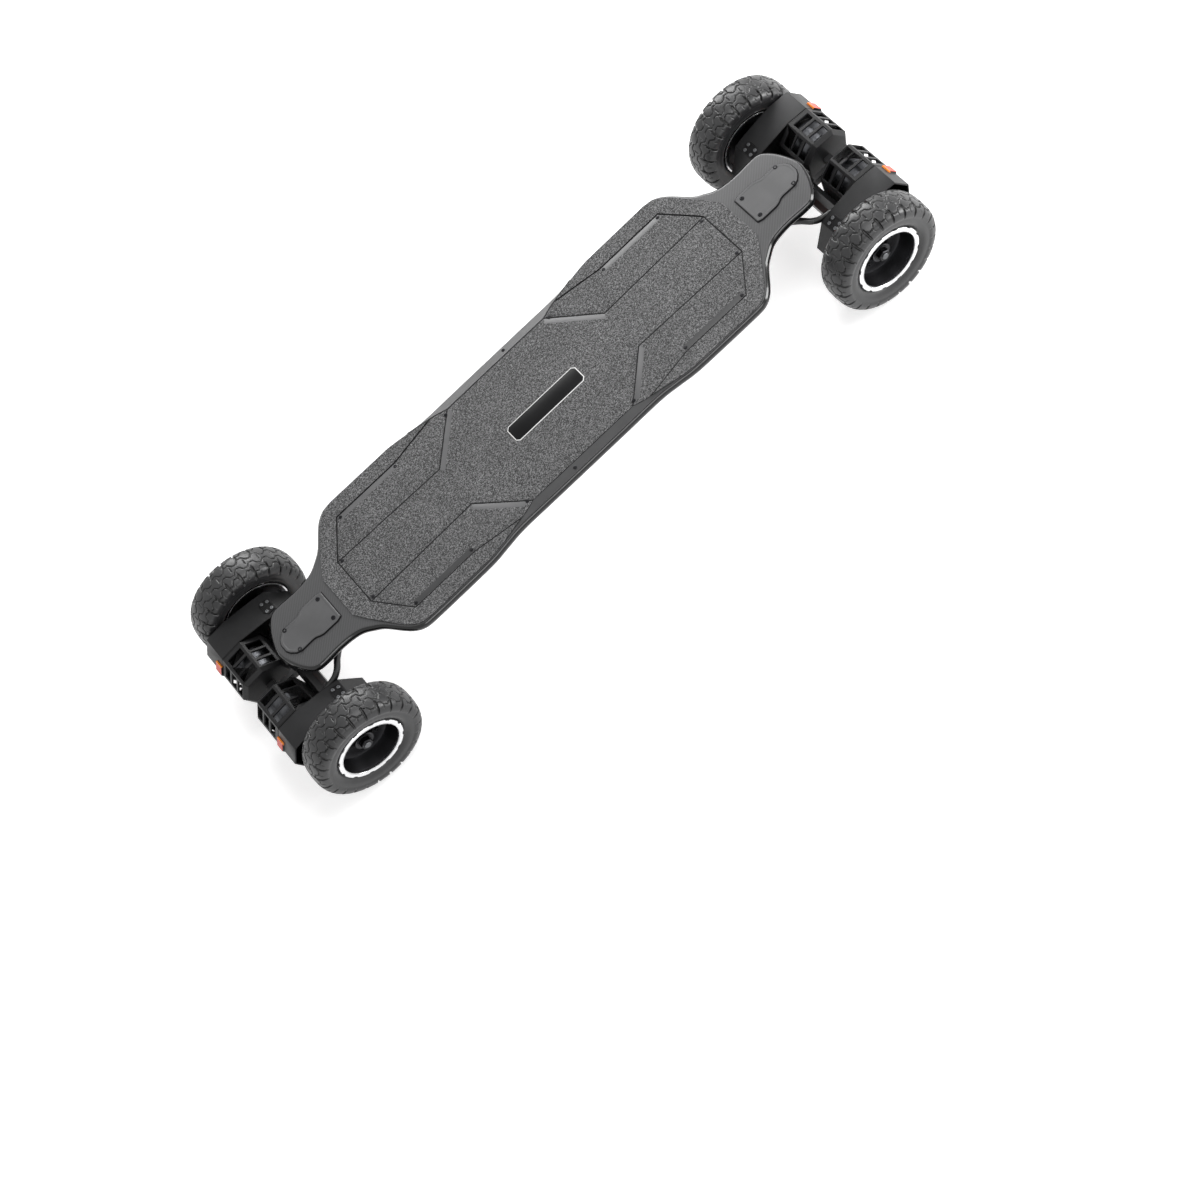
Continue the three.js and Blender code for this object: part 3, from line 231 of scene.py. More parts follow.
def seam(finish, out_mm, half_mm):
    """Dark line round the axle, where | |y| - out_mm | is under half_mm."""
    tree = finish.node_tree
    shader = tree.nodes["Principled BSDF"]
    place = node(tree, "ShaderNodeTexCoord").outputs["Object"]
    y = node(tree, "ShaderNodeSeparateXYZ", {"Vector": place}).outputs["Y"]
    on_line = maths(tree, "COMPARE", maths(tree, "ABSOLUTE", y), out_mm * MM, half_mm * MM)
    skin = shader.inputs["Base Color"].links[0].from_socket
    mixed = node(tree, "ShaderNodeMix", {0: on_line, 6: skin, 7: linear("#020202")}, data_type="RGBA")
    tree.links.new(mixed.outputs[2], shader.inputs["Base Color"])


for nylon in (cage_nylon, housing_nylon):
    seam(nylon, CAGE_END, SEAM_HALF_WIDTH)


# %% Tyre rubber, with painted shade down in the grooves
def tread_finish():
    """Soft black with a bloom; the mesh's groove value darkens the lines with painted shade."""
    finish, tree, shader, place = new_finish("tyre_rubber", "#1e1e1f", 0.4)
    cloud = grain(tree, place, 30, 3)
    tone = two_tones(tree, cloud, 0.3, 0.7, "#1d1d1e", "#29292a")
    groove_shade = node(tree, "ShaderNodeAttribute", attribute_name="groove_shade").outputs["Fac"]
    # Painted shade: where the groove value is high, the colour is multiplied much darker.
    shade = two_tones(tree, groove_shade, 0.15, 0.7, "#ffffff", "#3c3c3c")
    tree.links.new(multiplied(tree, tone, shade), shader.inputs["Base Color"])
    tree.links.new(span(tree, cloud, 0.3, 0.42), shader.inputs["Roughness"])
    raise_skin(tree, shader, grain(tree, place, 0.9, 2), 0.08)
    return finish


tyre_rubber = tread_finish()


# %% Metals with a direction
def turned_metal(name, colour, roughness, line_mm, height_mm):
    """Lathe-turned metal: rings about the axle, by noise that changes mostly along Y."""
    finish, tree, shader, place = new_finish(name, colour, roughness, 1.0)
    lines = grain(tree, place, line_mm, 3, 0.6, (0.02, 1, 0.02))
    tree.links.new(span(tree, lines, roughness - 0.08, roughness + 0.12), shader.inputs["Roughness"])
    raise_skin(tree, shader, lines, height_mm)
    return finish


bright_ring = turned_metal("machined_aluminium", "#e4e4e5", 0.26, 0.5, 0.02)
axle_steel = turned_metal("hardened_axle_steel", "#5f6062", 0.34, 0.5, 0.02)
gear_steel = turned_metal("hobbed_gear_steel", "#6f7072", 0.34, 0.8, 0.03)
hub_black = turned_metal("black_anodised_hub", "#39393b", 0.34, 0.9, 0.03)
motor_can = turned_metal("motor_can_steel", "#58595c", 0.38, 0.9, 0.05)
orange_anodised = moulded("orange_anodised_aluminium", "#f2801e", "#f9912c", 0.3, 0.5, 0.02,
                          Metallic=0.12)
red_orange = moulded("red_orange_clip", "#cf2f18", "#da3c20", 0.34, 0.5, 0.02, Metallic=0.1)


# %% Grip: sprayed grit in a grey binder
def grip_finish():
    """Salt-and-pepper grit of about 1.5 mm, dimmed a little by 3 mm clumps and wide patches."""
    finish, tree, shader, place = new_finish("sprayed_grit", "#58585a", 0.8)
    grit = grain(tree, place, 1.45, 2, 0.7)
    clump = grain(tree, place, 3.0, 1, 0.5)
    patch = grain(tree, place, 60, 2)
    speckle = two_tones(tree, grit, 0.41, 0.65, "#121213", "#8e8e8f")
    salt = two_tones(tree, clump, 0.4, 0.65, "#c6c6c6", "#ffffff")
    tone = two_tones(tree, patch, 0.3, 0.7, "#ececec", "#ffffff")
    colour = multiplied(tree, multiplied(tree, speckle, salt), tone)
    tree.links.new(colour, shader.inputs["Base Color"])
    raise_skin(tree, shader, grit, 0.6)
    return finish


grip_grit = grip_finish()


# %% Laminate: carbon cloth under clear resin
THREADS_PER_WAVE_SCALE = 3.14


def laminate(name, dark, light, roughness, coat, thread_mm, gleam=0.5):
    """Twill: slightly wavy diagonal bands, a thread or so wide, under a clear coat."""
    finish, tree, shader, place = new_finish(
        name, dark, roughness, Coat_Weight=coat, Coat_Roughness=0.08, Specular_IOR_Level=gleam)
    mirrored_place = node(tree, "ShaderNodeMapping", {"Vector": place, "Scale": (1, -1, 1)})
    weave = node(tree, "ShaderNodeTexWave", {
        "Vector": mirrored_place.outputs["Vector"],
        "Scale": 1 / (thread_mm * MM) / THREADS_PER_WAVE_SCALE, "Distortion": 0.6,
        "Detail": 1.0, "Detail Scale": 2.0}, wave_type="BANDS", bands_direction="DIAGONAL")
    tone = two_tones(tree, weave.outputs["Fac"], 0.3, 0.8, dark, light)
    tree.links.new(tone, shader.inputs["Base Color"])
    cloud = grain(tree, place, 55, 2)
    tree.links.new(span(tree, cloud, roughness - 0.03, roughness + 0.06), shader.inputs["Roughness"])
    return finish


gloss_laminate = laminate("gloss_carbon_laminate", "#0a0a0b", "#111112", 0.16, 0.2, 3.0, 0.35)
nose_laminate = laminate("satin_carbon_laminate", "#39393a", "#414142", 0.36, 0.12, 2.5)
print("finishes", len(bpy.data.materials))

# %% [markdown]
# ## Tools for shapes
# Every new surface is a grid of points: rings along a path, or a profile turned about the
# axle. A shape is a pair of points and faces. The corners of the board are copies of one
# drawing, mirrored by the signs of X and Y.


# %% Mesh tools
def welded(mesh, reach_mm):
    """The mesh's bmesh, its corners merged where they lie within reach of each other."""
    body = bmesh.new()
    body.from_mesh(mesh)
    bmesh.ops.remove_doubles(body, verts=body.verts, dist=reach_mm * MM)
    return body


def write_back(body, mesh):
    """Puts the bmesh's shape into the mesh and frees it."""
    body.to_mesh(mesh)
    body.free()


def new_object(name, mesh, finish):
    """Gives the mesh its finish, or a list of them, and links an object for it."""
    mesh.materials.clear()
    for material in finish if isinstance(finish, list) else [finish]:
        mesh.materials.append(material)
    made = bpy.data.objects.new(name, mesh)
    bpy.context.scene.collection.objects.link(made)
    return made


def add_mesh(name, shape, finish, recalc=True):
    """Makes an object from points in millimetres and lists of corner numbers."""
    points, faces = shape
    mesh = bpy.data.meshes.new(name)
    mesh.from_pydata((np.asarray(points, float) * MM).tolist(), [], faces)
    if recalc:
        body = welded(mesh, 0.004)
        bmesh.ops.recalc_face_normals(body, faces=body.faces)
        write_back(body, mesh)
    return new_object(name, mesh, finish)


def soften(piece, angle, bevel_mm=0.0, steps=2):
    """Smooth shading that breaks at sharp edges, and a real rounded edge where asked."""
    piece.data.shade_smooth()
    piece.data.set_sharp_from_angle(angle=math.radians(angle))
    if bevel_mm:
        rounding = piece.modifiers.new("edge rounding", "BEVEL")
        rounding.width = bevel_mm * MM
        rounding.segments = steps
        rounding.limit_method = "ANGLE"
        rounding.angle_limit = math.radians(angle)
        rounding.harden_normals = True
    return piece


def grid_faces(rows, columns, wrap_rows, wrap_columns):
    """Corner numbers of the quads between neighbouring rows and columns of a grid."""
    row = np.arange(rows if wrap_rows else rows - 1)
    column = np.arange(columns if wrap_columns else columns - 1)
    r, c = np.meshgrid(row, column, indexing="ij")
    r_next, c_next = (r + 1) % rows, (c + 1) % columns
    corners = [r * columns + c, r * columns + c_next, r_next * columns + c_next, r_next * columns + c]
    return np.stack(corners, -1).reshape(-1, 4).tolist()


def around(count):
    """Evenly spaced angles, once round."""
    return np.linspace(0, 2 * np.pi, count, endpoint=False)


def turned(radius, along, turns):
    """Radii at places along Y, carried round it: (r sin a, y, r cos a), indexed [turn, place]."""
    angle = around(turns)[:, None]
    x, z = radius * np.sin(angle), radius * np.cos(angle)
    return np.stack([x, along + 0 * x, z], -1)


def solid_of_turn(profile, turns):
    """A ring-shaped body of turn from its section of (radius, along)."""
    radius, along = np.asarray(profile, float).T
    return turned(radius, along, turns).reshape(-1, 3), grid_faces(turns, len(profile), True, True)


def joined(parts):
    """Puts several (points, faces) together as one mesh."""
    points, faces, count = [], [], 0
    for part_points, part_faces in parts:
        points.append(part_points)
        faces += [[corner + count for corner in face] for face in part_faces]
        count += len(part_points)
    return np.concatenate(points), faces


def inset(outline, distance):
    """Every edge moved inwards by distance; corners meet where the moved edges cross."""
    p = np.asarray(outline, float)
    area = np.sum(p[:, 0] * np.roll(p[:, 1], -1) - np.roll(p[:, 0], -1) * p[:, 1])
    edge = np.roll(p, -1, 0) - p
    edge /= np.linalg.norm(edge, axis=1)[:, None]
    normal = np.stack([-edge[:, 1], edge[:, 0]], -1) * np.sign(area)
    before = np.roll(normal, 1, 0)
    middle = normal + before
    middle /= np.linalg.norm(middle, axis=1)[:, None]
    return p + middle * (distance / np.sum(middle * normal, 1))[:, None]


def capped(rings):
    """A closed shape from rings of points, indexed [ring, corner], with a flat face at both ends."""
    rows, columns = rings.shape[:2]
    first = np.arange(columns)
    caps = [first[::-1].tolist(), (first + (rows - 1) * columns).tolist()]
    return rings.reshape(-1, 3), grid_faces(rows, columns, False, True) + caps


def stack(outline, levels):
    """Closed slab: the outline at each (inset, height), from the foot up."""
    return capped(np.array([
        np.c_[inset(outline, d) if d else np.asarray(outline, float), np.full(len(outline), z)]
        for d, z in levels]))


def four_way(quarter):
    """A quarter outline from the middle to the tip, repeated on all four sides."""
    q = np.asarray(quarter, float)
    inside = q[(q[:, 0] > 0) & (q[:, 1] > 0)]
    side, tip = q[q[:, 0] == 0], q[q[:, 1] == 0]
    back = inside[::-1]
    return np.concatenate([side, inside, tip, back * [1, -1], side * [1, -1], inside * [-1, -1],
                           tip * [-1, 1], back * [-1, 1]])


def smooth_line(points, count):
    """Catmull-Rom curve through the points, sampled evenly in its own parameter."""
    p = np.asarray(points, float)
    p = np.concatenate([[2 * p[0] - p[1]], p, [2 * p[-1] - p[-2]]])
    t = np.linspace(0, len(p) - 3 - 1e-9, count)
    i, u = t.astype(int), (t % 1)[:, None]
    a, b, c, d = p[i], p[i + 1], p[i + 2], p[i + 3]
    return 0.5 * (2 * b + (c - a) * u + (2 * a - 5 * b + 4 * c - d) * u ** 2
                  + (3 * b - 3 * c + d - a) * u ** 3)


def tube(path, radii, sides=16):
    """A round tube: each ring stands square to the path, turned as little as possible."""
    p = np.asarray(path, float)
    way = np.gradient(p, axis=0)
    way /= np.linalg.norm(way, axis=1)[:, None]
    first = np.cross(way[0], (0, 0, 1.0))
    across = [first / np.linalg.norm(first)]
    for step in way[1:]:
        turned_on = across[-1] - step * np.dot(across[-1], step)
        across.append(turned_on / np.linalg.norm(turned_on))
    across = np.array(across)
    up = np.cross(way, across)
    angle = around(sides)[None, :, None]
    r = np.broadcast_to(np.asarray(radii, float), (len(p),))[:, None, None]
    return capped(p[:, None] + r * (across[:, None] * np.cos(angle) + up[:, None] * np.sin(angle)))


def mirrored(shape, way, side=1, centre=(0, 0, 0)):
    """A shape drawn about a centre at the front left, carried to another end or corner."""
    points, faces = shape
    return (points + np.array(centre)) * [way, side, 1], faces


def settle(piece, node_name, stands_in=False):
    """The piece moves with a CAD node's body, and hides the node when it stands in for it."""
    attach(piece, body_of[node_name])
    if stands_in:
        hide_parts(node_name)
    return piece


def dressed(node_name, finish, bevel_mm, angle=35.0, steps=2):
    """A CAD node's own shape with its flat faces merged and its edges rounded."""
    mesh = frame["nodes"][node_name].data.copy()
    body = welded(mesh, 0.01)
    bmesh.ops.dissolve_limit(body, angle_limit=math.radians(0.5), verts=body.verts, edges=body.edges)
    write_back(body, mesh)
    piece = soften(new_object(node_name + "_skin", mesh, finish), angle, bevel_mm, steps)
    return settle(piece, node_name, True)


def add_piece(name, shape, finish, angle, node_name, stands_in=False):
    """A new shape, smooth up to the angle, settled on a CAD node's body."""
    return settle(soften(add_mesh(name, shape, finish), angle), node_name, stands_in)


def paint(piece, choice):
    """Sets which of its finishes each face shows: choice is a function of the face."""
    faces = piece.data.polygons
    faces.foreach_set("material_index", [int(choice(face)) for face in faces])


# %% [markdown]
# ## The deck
# The deck is a long laminate with a rounded rail all the way round. Its outline is a table
# of half-widths; a smooth curve joins them and rings of it, inset and raised, make the rail.

# %% Deck
DECK_LENGTH = 468.0
DECK_WIDTH = 123.5
DECK_TABLE = [
    (0.0, 0.935), (0.13, 0.935), (0.256, 0.935), (0.321, 0.962), (0.385, 0.993), (0.5, 0.999),
    (0.609, 0.999), (0.645, 0.978), (0.671, 0.915), (0.692, 0.826), (0.726, 0.656),
    (0.752, 0.575), (0.78, 0.506), (0.812, 0.474), (0.855, 0.463), (0.908, 0.472),
    (0.934, 0.464), (0.953, 0.421), (0.972, 0.324), (0.987, 0.202), (0.997, 0.081), (1.0, 0.0),
]


def deck_outline(count):
    """The table's points joined by a smooth curve, from the waist to the tip."""
    line = smooth_line(np.array(DECK_TABLE) * [DECK_LENGTH, DECK_WIDTH], count)
    line[:, 1] = np.minimum(line[:, 1], DECK_WIDTH)
    line[0, 0], line[-1] = 0, (DECK_LENGTH, 0)
    return four_way(line)


RAIL = [(9.0, 134.0), (6.0, 134.4), (3.2, 135.4), (1.3, 137.0), (0.35, 139.0), (0.0, 141.2),
        (0.0, 142.6), (0.25, 144.0), (0.7, 145.0), (1.3, 145.8), (2.9, 147.4), (3.7, 148.0),
        (4.7, 148.4), (6.0, 148.5)]
DECK_MIDDLE = 140.0
deck = add_piece("deck_board", stack(deck_outline(110), RAIL), [gloss_laminate, nose_laminate],
                 40, "deck", True)
paint(deck, lambda face: face.normal.z > 0.9 and face.center.z > DECK_MIDDLE * MM)
print("deck faces", len(deck.data.polygons))

# %% [markdown]
# ## The grip
# The grip is cut into panels that follow the stance. Each panel is a slab of sprayed grit
# with a fine gap round it, its walls and the sheet below painted dark as shade. Smooth bevels
# run beside the slanting seams, on the middle panel at the left and on the side panels at the
# right, and beside the long outer seams; the outer ones at the right are painted darker, as shade.

# %% Grip panels
SEAM_A, SEAM_B, SEAM_C = (329.4, 40.5), (148.7, 37.1), (87.5, 98.7)
SEAM_D, SEAM_E, SEAM_F = (291.3, 94.4), (187.0, 94.0), (112.0, 106.4)
SLANT_FOOT, SLANT_SUM = (104.0, 104.6), 186.0
EDGE = [(150.0, 115.0), (165.0, 117.6), (180.0, 119.6), (285.0, 120.4), (300.0, 118.0),
        (310.0, 111.0), (320.0, 99.5), (343.0, 65.0), (352.0, 50.5), (360.0, 36.0)]
GAP = 0.85
GRIP_LOW, GRIP_TOP = 149.0, 150.3


SHARP = [(GAP, GRIP_LOW), (GAP, GRIP_TOP - 0.35), (GAP + 0.35, GRIP_TOP)]
SLOPED = [(GAP, GRIP_LOW), (GAP, GRIP_TOP - 0.9), (GAP + 0.4, GRIP_TOP - 0.75), (GAP + 8.0, GRIP_TOP)]


def flipped(line, way, side):
    """A line drawn at the front left, carried to another end or side."""
    return np.asarray(line, float) * [way, side]


def both_sides(line, way):
    """The line along the left, then back along the right."""
    return np.concatenate([flipped(line, way, 1), flipped(line[::-1], way, -1)])


collar = [SEAM_A, SEAM_D, SEAM_E, SEAM_F, *EDGE]
side_panel = [SEAM_A, SEAM_B, SEAM_C, SLANT_FOOT, SEAM_F, SEAM_E, SEAM_D]
slabs = []
for way in (1, -1):
    slabs.append(stack(both_sides(collar, way), SHARP))
    slabs += [stack(flipped(side_panel, way, side), SLOPED) for side in (1, -1)]
middle_half = both_sides([SEAM_C, SEAM_B, SEAM_A], 1)
slabs.append(stack(np.concatenate([middle_half, -middle_half]), SLOPED))
print("grip panels", len(slabs))
# A thin sheet under the panels. It and the gap walls are painted near-black, as shade in the gaps.
bed = four_way([(0, 98.5), (87.5, 97.5), (104, 103.5), *(np.array(EDGE) - [1, 1.5]), (359.0, 0)])
slabs.append(stack(bed, [(0, 148.55), (0, 148.95)]))
grip = add_piece("grip_panels", joined(slabs), [grip_grit, edge_plastic, black_and_painted_shade, painted_shade_bevel],
                 20, "grip_pad", True)
OUTER_BOX, SLANT_BOX = (188, 292, 84, 95), (85, 149, 37, 99)
SLANT_REACH, LEAST_BEVEL = 13, 1.2e-4


def inside(x, y, box):
    """Whether a place lies in a box of least and greatest x, then y."""
    return box[0] < x < box[1] and box[2] < y < box[3]


def grip_part(face):
    """0 grit, 1 smooth bevel beside a seam, 2 the gap's walls and floor, painted dark as shade, 3 outer
    bevel at the right, painted darker as shade.
    """
    x, y, left = abs(face.center.x) / MM, abs(face.center.y) / MM, face.center.y > 0
    if face.normal.z < 0.5 or face.center.z < (GRIP_LOW + 0.2) * MM:
        return 2
    bevel = face.normal.z < 0.9995 and face.area > LEAST_BEVEL
    outer = inside(x, y, OUTER_BOX)
    near_slant = inside(x, y, SLANT_BOX) and abs(x + y - SLANT_SUM) < SLANT_REACH
    slanting = near_slant and (x + y < SLANT_SUM) == left
    return 3 if bevel and outer and not left else bevel and (slanting or outer)


paint(grip, grip_part)


# %% Waist bevels beside the middle panel
along = np.array([-148, -140, -121, -104, -87.5, -40, 0, 40, 87.5, 104, 121, 140, 148.0])
inner_edge = np.interp(np.abs(along), [0, 87.5, 104, 150], [99.3, 99.3, 105.2, 115.4])
outer_edge = np.interp(np.abs(along), [0, 120, 150], [110.8, 110.8, 115.8])
outer_edge = np.maximum(outer_edge, inner_edge + 0.6)
WAIST_CORNERS = ((inner_edge, 150.1), (outer_edge, 148.6), (outer_edge, 148.0), (inner_edge, 148.0))


def waist_strip(side):
    """A closed strip that slopes from the inner edge down to the outer, flat below."""
    return capped(np.stack([
        np.c_[along, side * edge, np.full(len(along), z)] for edge, z in WAIST_CORNERS], 1))


strips = [waist_strip(side) for side in (1, -1)]
waist = add_piece("waist_bevels", joined(strips), [edge_plastic, painted_shade_bevel], 30, "grip_pad")
# The right-hand strip takes the darker copy: painted shade.
paint(waist, lambda face: face.center.y < 0)

# %% [markdown]
# ## Screws and plates
# Small socket screws hold the plates and the grip down. One profile is turned for the head
# and a six-sided hole is sunk in it.


# %% Screw heads
SCREW_SIDES = 24
UP, OUTWARD = (0, 0, 1), (0, 1, 0)


def screw_head(place, radius, height, way=UP):
    """Cheese head with a hexagonal socket: rings from the rim in to the socket floor."""
    socket = radius * 0.5
    rings = [(radius, 0), (radius, height * 0.75), (radius * 0.88, height), (socket, height),
             (socket, height * 0.3), (0.02, height * 0.3)]
    ring, z = np.array(rings).T[:, :, None]
    angle = around(SCREW_SIDES)
    hexagon = np.cos(np.pi / 6) / np.cos(angle % (np.pi / 3) - np.pi / 6)
    r = ring * np.where(ring <= socket, hexagon, 1)
    local = np.stack([r * np.cos(angle), r * np.sin(angle), z + 0 * r], -1).reshape(-1, 3)
    turn = Vector(UP).rotation_difference(Vector(way)).to_matrix()
    foot = list(range(SCREW_SIDES))[::-1]
    return local @ np.array(turn).T + place, grid_faces(len(rings), SCREW_SIDES, False, True) + [foot]


def screw_set(name, places, radius, height):
    """Several upright screws in the deck as one piece."""
    heads = joined([screw_head(place, radius, height) for place in places])
    return add_piece(name, heads, blackened_steel, 30, "deck")


GRIP_SCREWS = [(323.5, 37.0), (94.0, 93.5), (287.5, 90.0), (189.0, 89.0)]
deck_screws = [(x * way, y * side, GRIP_TOP - 0.5)
               for way in (1, -1) for side in (1, -1) for x, y in GRIP_SCREWS]
deck_screws += [(20.0, 106.0, 149.2), (-20.0, -106.0, 149.2)]
screw_set("deck_screws", deck_screws, 2.6, 0.5)
print("grip screws", len(deck_screws))

# %% Nose and tail plates
PLATE = [(372.0, 24.0), (379.0, 26.3), (403.0, 26.3), (409.0, 24.6), (414.0, 22.0), (419.0, 21.2),
         (438.0, 21.6), (446.0, 19.0), (452.5, 12.5), (455.5, 6.0)]
# The first two levels make a foot 1.4 mm wider than the plate, painted near-black as a shadow line round it.
PLATE_LEVELS = [(-1.4, 148.4), (-1.4, 148.75), (0, 148.8), (0, 150.4), (0.9, 151.0), (3.2, 151.0),
                (3.6, 150.75)]
for end, way in ENDS.items():
    outline = both_sides(PLATE, way)
    plate = add_piece(end + "_plate", stack(outline, PLATE_LEVELS), [plate_plastic, black_and_painted_shade], 25, "deck")
    # Sides and foot take the near-black finish: painted shade round the plate.
    paint(plate, lambda face: face.normal.z < 0.5 or face.center.z < GRIP_LOW * MM)
    places = [(way * x, side * 19.0, 150.6) for x in (380.5, 440.0) for side in (1, -1)]
    screw_set(end + "_plate_screws", places, 3.2, 0.8)

# %% Centre badge, left bare
BADGE = [(-50.5, 6), (-46, 10.3), (66.5, 10.3), (71, 6), (71, -14), (66.5, -18.3), (-46, -18.3),
         (-50.5, -14)]
RIM_WIDTH = 1.1
badge_rim = stack(BADGE, [(0, 149.6), (0, 150.6), (0.3, 150.75)])
badge_face = stack(inset(BADGE, RIM_WIDTH), [(0, 150.2), (0, 150.85), (0.4, 151.0)])
add_piece("badge_rim", badge_rim, rim_white, 25, "grip_pad")
add_piece("badge_plate", badge_face, badge_black, 25, "grip_pad")

# %% [markdown]
# ## The wheels
# An air tyre is a profile turned about the axle. Its tread is a height worked out for every
# point of the grid: the distance to the nearest groove line says how deep the point lies.

# %% Tyre
WHEEL = np.array([460.0, 140.6, 82.5])
TYRE_RADIUS = 82.5
PITCHES = 24
PITCH = 2 * np.pi * TYRE_RADIUS / PITCHES
ZIGZAG = [(0.0, 3.1), (0.3, 2.5), (0.5, -3.1), (0.8, -2.5), (1.0, 3.1)]
ROWS = [(-18.0, 0.2), (-6.4, 0.7), (6.4, 0.2), (18.0, 0.7)]
ZIGZAGS = [[(s + shift, w + row) for s, w in ZIGZAG] for row, shift in ROWS]
LUG_GAPS = [[(0.5, 13.0), (0.5, 40.0)], [(0.0, -13.0), (0.0, -40.0)]]
SIPES = [[(0.02, 22.5), (0.05, 26.0)], [(0.52, -22.5), (0.55, -26.0)], [(0.5, 9.0), (0.45, 14.0)],
         [(0.0, -9.0), (-0.05, -14.0)], [(0.2, 3.5), (0.2, -3.5)]]


def line_distance(s, w, lines):
    """Least distance from each (s, w) to the lines, repeated one pitch to either side."""
    least = np.full(s.shape, 99.0)
    for line in lines:
        for shift in (-1, 0, 1):
            p = (np.array(line) + [shift, 0]) * [PITCH, 1]
            for a, b in zip(p[:-1], p[1:]):
                d = b - a
                t = np.clip(((s - a[0]) * d[0] + (w - a[1]) * d[1]) / (d @ d), 0, 1)
                least = np.minimum(least, np.hypot(s - a[0] - t * d[0], w - a[1] - t * d[1]))
    return least


def step_up(value, low, high):
    """Smoothstep: 0 below low, 1 above high, 3t^2 - 2t^3 between."""
    t = np.clip((value - low) / (high - low), 0, 1)
    return t * t * (3 - 2 * t)


TYRE_TURNS = 840
TYRE_SECTION = [
    (82.5, 0.0), (82.2, 8.0), (81.3, 14.2), (79.6, 19.4), (76.6, 23.4), (72.0, 25.4), (66.0, 25.9),
    (59.0, 25.0), (53.5, 22.4), (50.4, 19.3), (48.2, 18.3)]
LUG_DEPTH, ZIGZAG_DEPTH, SIPE_DEPTH = 2.5, 1.5, 0.9


def tyre_points():
    """Half section from crown to bead, closest rows on the tread, mirrored, then grooved."""
    half = smooth_line(TYRE_SECTION, 600)
    run = np.r_[0, np.cumsum(np.hypot(*np.diff(half, axis=0).T))]
    rows = np.r_[np.linspace(0, 32, 42), np.linspace(32, run[-1], 14)[1:]]
    half = np.stack([np.interp(rows, run, half[:, i]) for i in (0, 1)], -1)
    section = np.concatenate([half[::-1], half[1:] * [1, -1]])
    reach = np.concatenate([rows[::-1], -rows[1:]])
    edge = np.gradient(section, axis=0)
    outward = np.stack([-edge[:, 1], edge[:, 0]], -1)
    outward /= np.linalg.norm(outward, axis=1)[:, None]
    outward *= np.sign(outward[len(half) - 1, 0])
    share = around(TYRE_TURNS) / (2 * np.pi)
    s = (share * PITCHES % 1 * PITCH)[:, None] + np.zeros((1, len(reach)))
    w = reach[None] + np.zeros_like(s)
    gap = 1 - step_up(line_distance(s, w, LUG_GAPS), 1.2, 2.1)
    line = 1 - step_up(line_distance(s, w, ZIGZAGS), 0.45, 1.15)
    sipe = 1 - step_up(line_distance(s, w, SIPES), 0.35, 0.9)
    fade = 1 - step_up(np.abs(w), 29, 35)
    depth = np.maximum(np.maximum(LUG_DEPTH * gap * fade, ZIGZAG_DEPTH * line), SIPE_DEPTH * sipe)
    ribs = 0.35 * np.exp(-((np.abs(w) - 49.0) / 0.8) ** 2) + 0.5 * step_up(np.abs(w), 36, 40) - 0.5
    lug_drop = 0.7 * step_up(np.abs(w), 33, 36) * (1 - step_up(np.abs(w), 40, 46))
    move = np.minimum(ribs * (np.abs(w) > 36), 0) - depth - lug_drop
    r, y = (section + move[..., None] * outward).transpose(2, 0, 1)
    # The second value is how much painted shade each point gets in the grooves.
    return turned(r, y, TYRE_TURNS), np.maximum(np.maximum(gap * fade, line), 0.6 * sipe)


tyre_grid, tyre_groove_shade = tyre_points()
seat = turned(np.array([47.2, 47.2]), np.array([-18.3, 18.3]), TYRE_TURNS)
tyre_ring = np.concatenate([tyre_grid, seat], 1).reshape(-1, 3)
groove_shade_values = np.c_[tyre_groove_shade, np.zeros((TYRE_TURNS, 2))].ravel()
tyre_faces = grid_faces(TYRE_TURNS, tyre_grid.shape[1] + 2, True, True)
for name, way, side in CORNERS:
    points, faces = mirrored((tyre_ring, tyre_faces), way, side, WHEEL)
    faces = faces if way * side > 0 else [face[::-1] for face in faces]
    tyre = add_mesh(name + "tyre_tread", (points, faces), tyre_rubber, recalc=False)
    # Each point's share of painted shade in the grooves rides on the mesh.
    tyre.data.attributes.new("groove_shade", "FLOAT", "POINT").data.foreach_set("value", groove_shade_values)
    settle(soften(tyre, 60), name + "tyre", True)
print("tyre triangles", 2 * len(tyre_faces))

# %% Hub, bead ring and gear
HUB = [
    (5.6, 6.2), (9.5, 6.2), (10.5, 5.4), (14.0, 5.4), (14.0, 1.0), (15.5, -2.0), (19.0, -4.6),
    (33.0, -5.8), (38.5, -3.5), (40.6, 2.0), (42.2, 16.0), (42.8, 18.3), (43.8, 18.8), (46.3, 18.8),
    (46.5, 18.3), (46.5, -18.4), (49.2, -18.8), (49.5, -19.4), (49.5, -21.1), (47.5, -21.1),
    (47.5, -21.9), (43.2, -21.9), (42.6, -21.4), (42.0, -12.0), (37.0, -10.6), (20.0, -11.4),
    (15.2, -14.0), (15.0, -17.6), (5.6, -18.0)]
BEAD_RING = [
    (42.7, 19.1), (42.7, 21.6), (42.9, 21.9), (43.3, 21.9), (43.4, 21.0), (43.8, 21.0),
    (43.9, 21.9), (49.2, 21.9), (49.5, 21.6), (49.5, 19.1)]
LIP = [(47.6, -21.88), (49.4, -21.88), (49.55, -21.6), (49.55, -21.2), (47.6, -21.2)]
NOTCHES, NOTCH_DEPTH, RING_TURNS = 12, 1.5, 240
HUB_BOLTS, HUB_STUDS = 5, 12


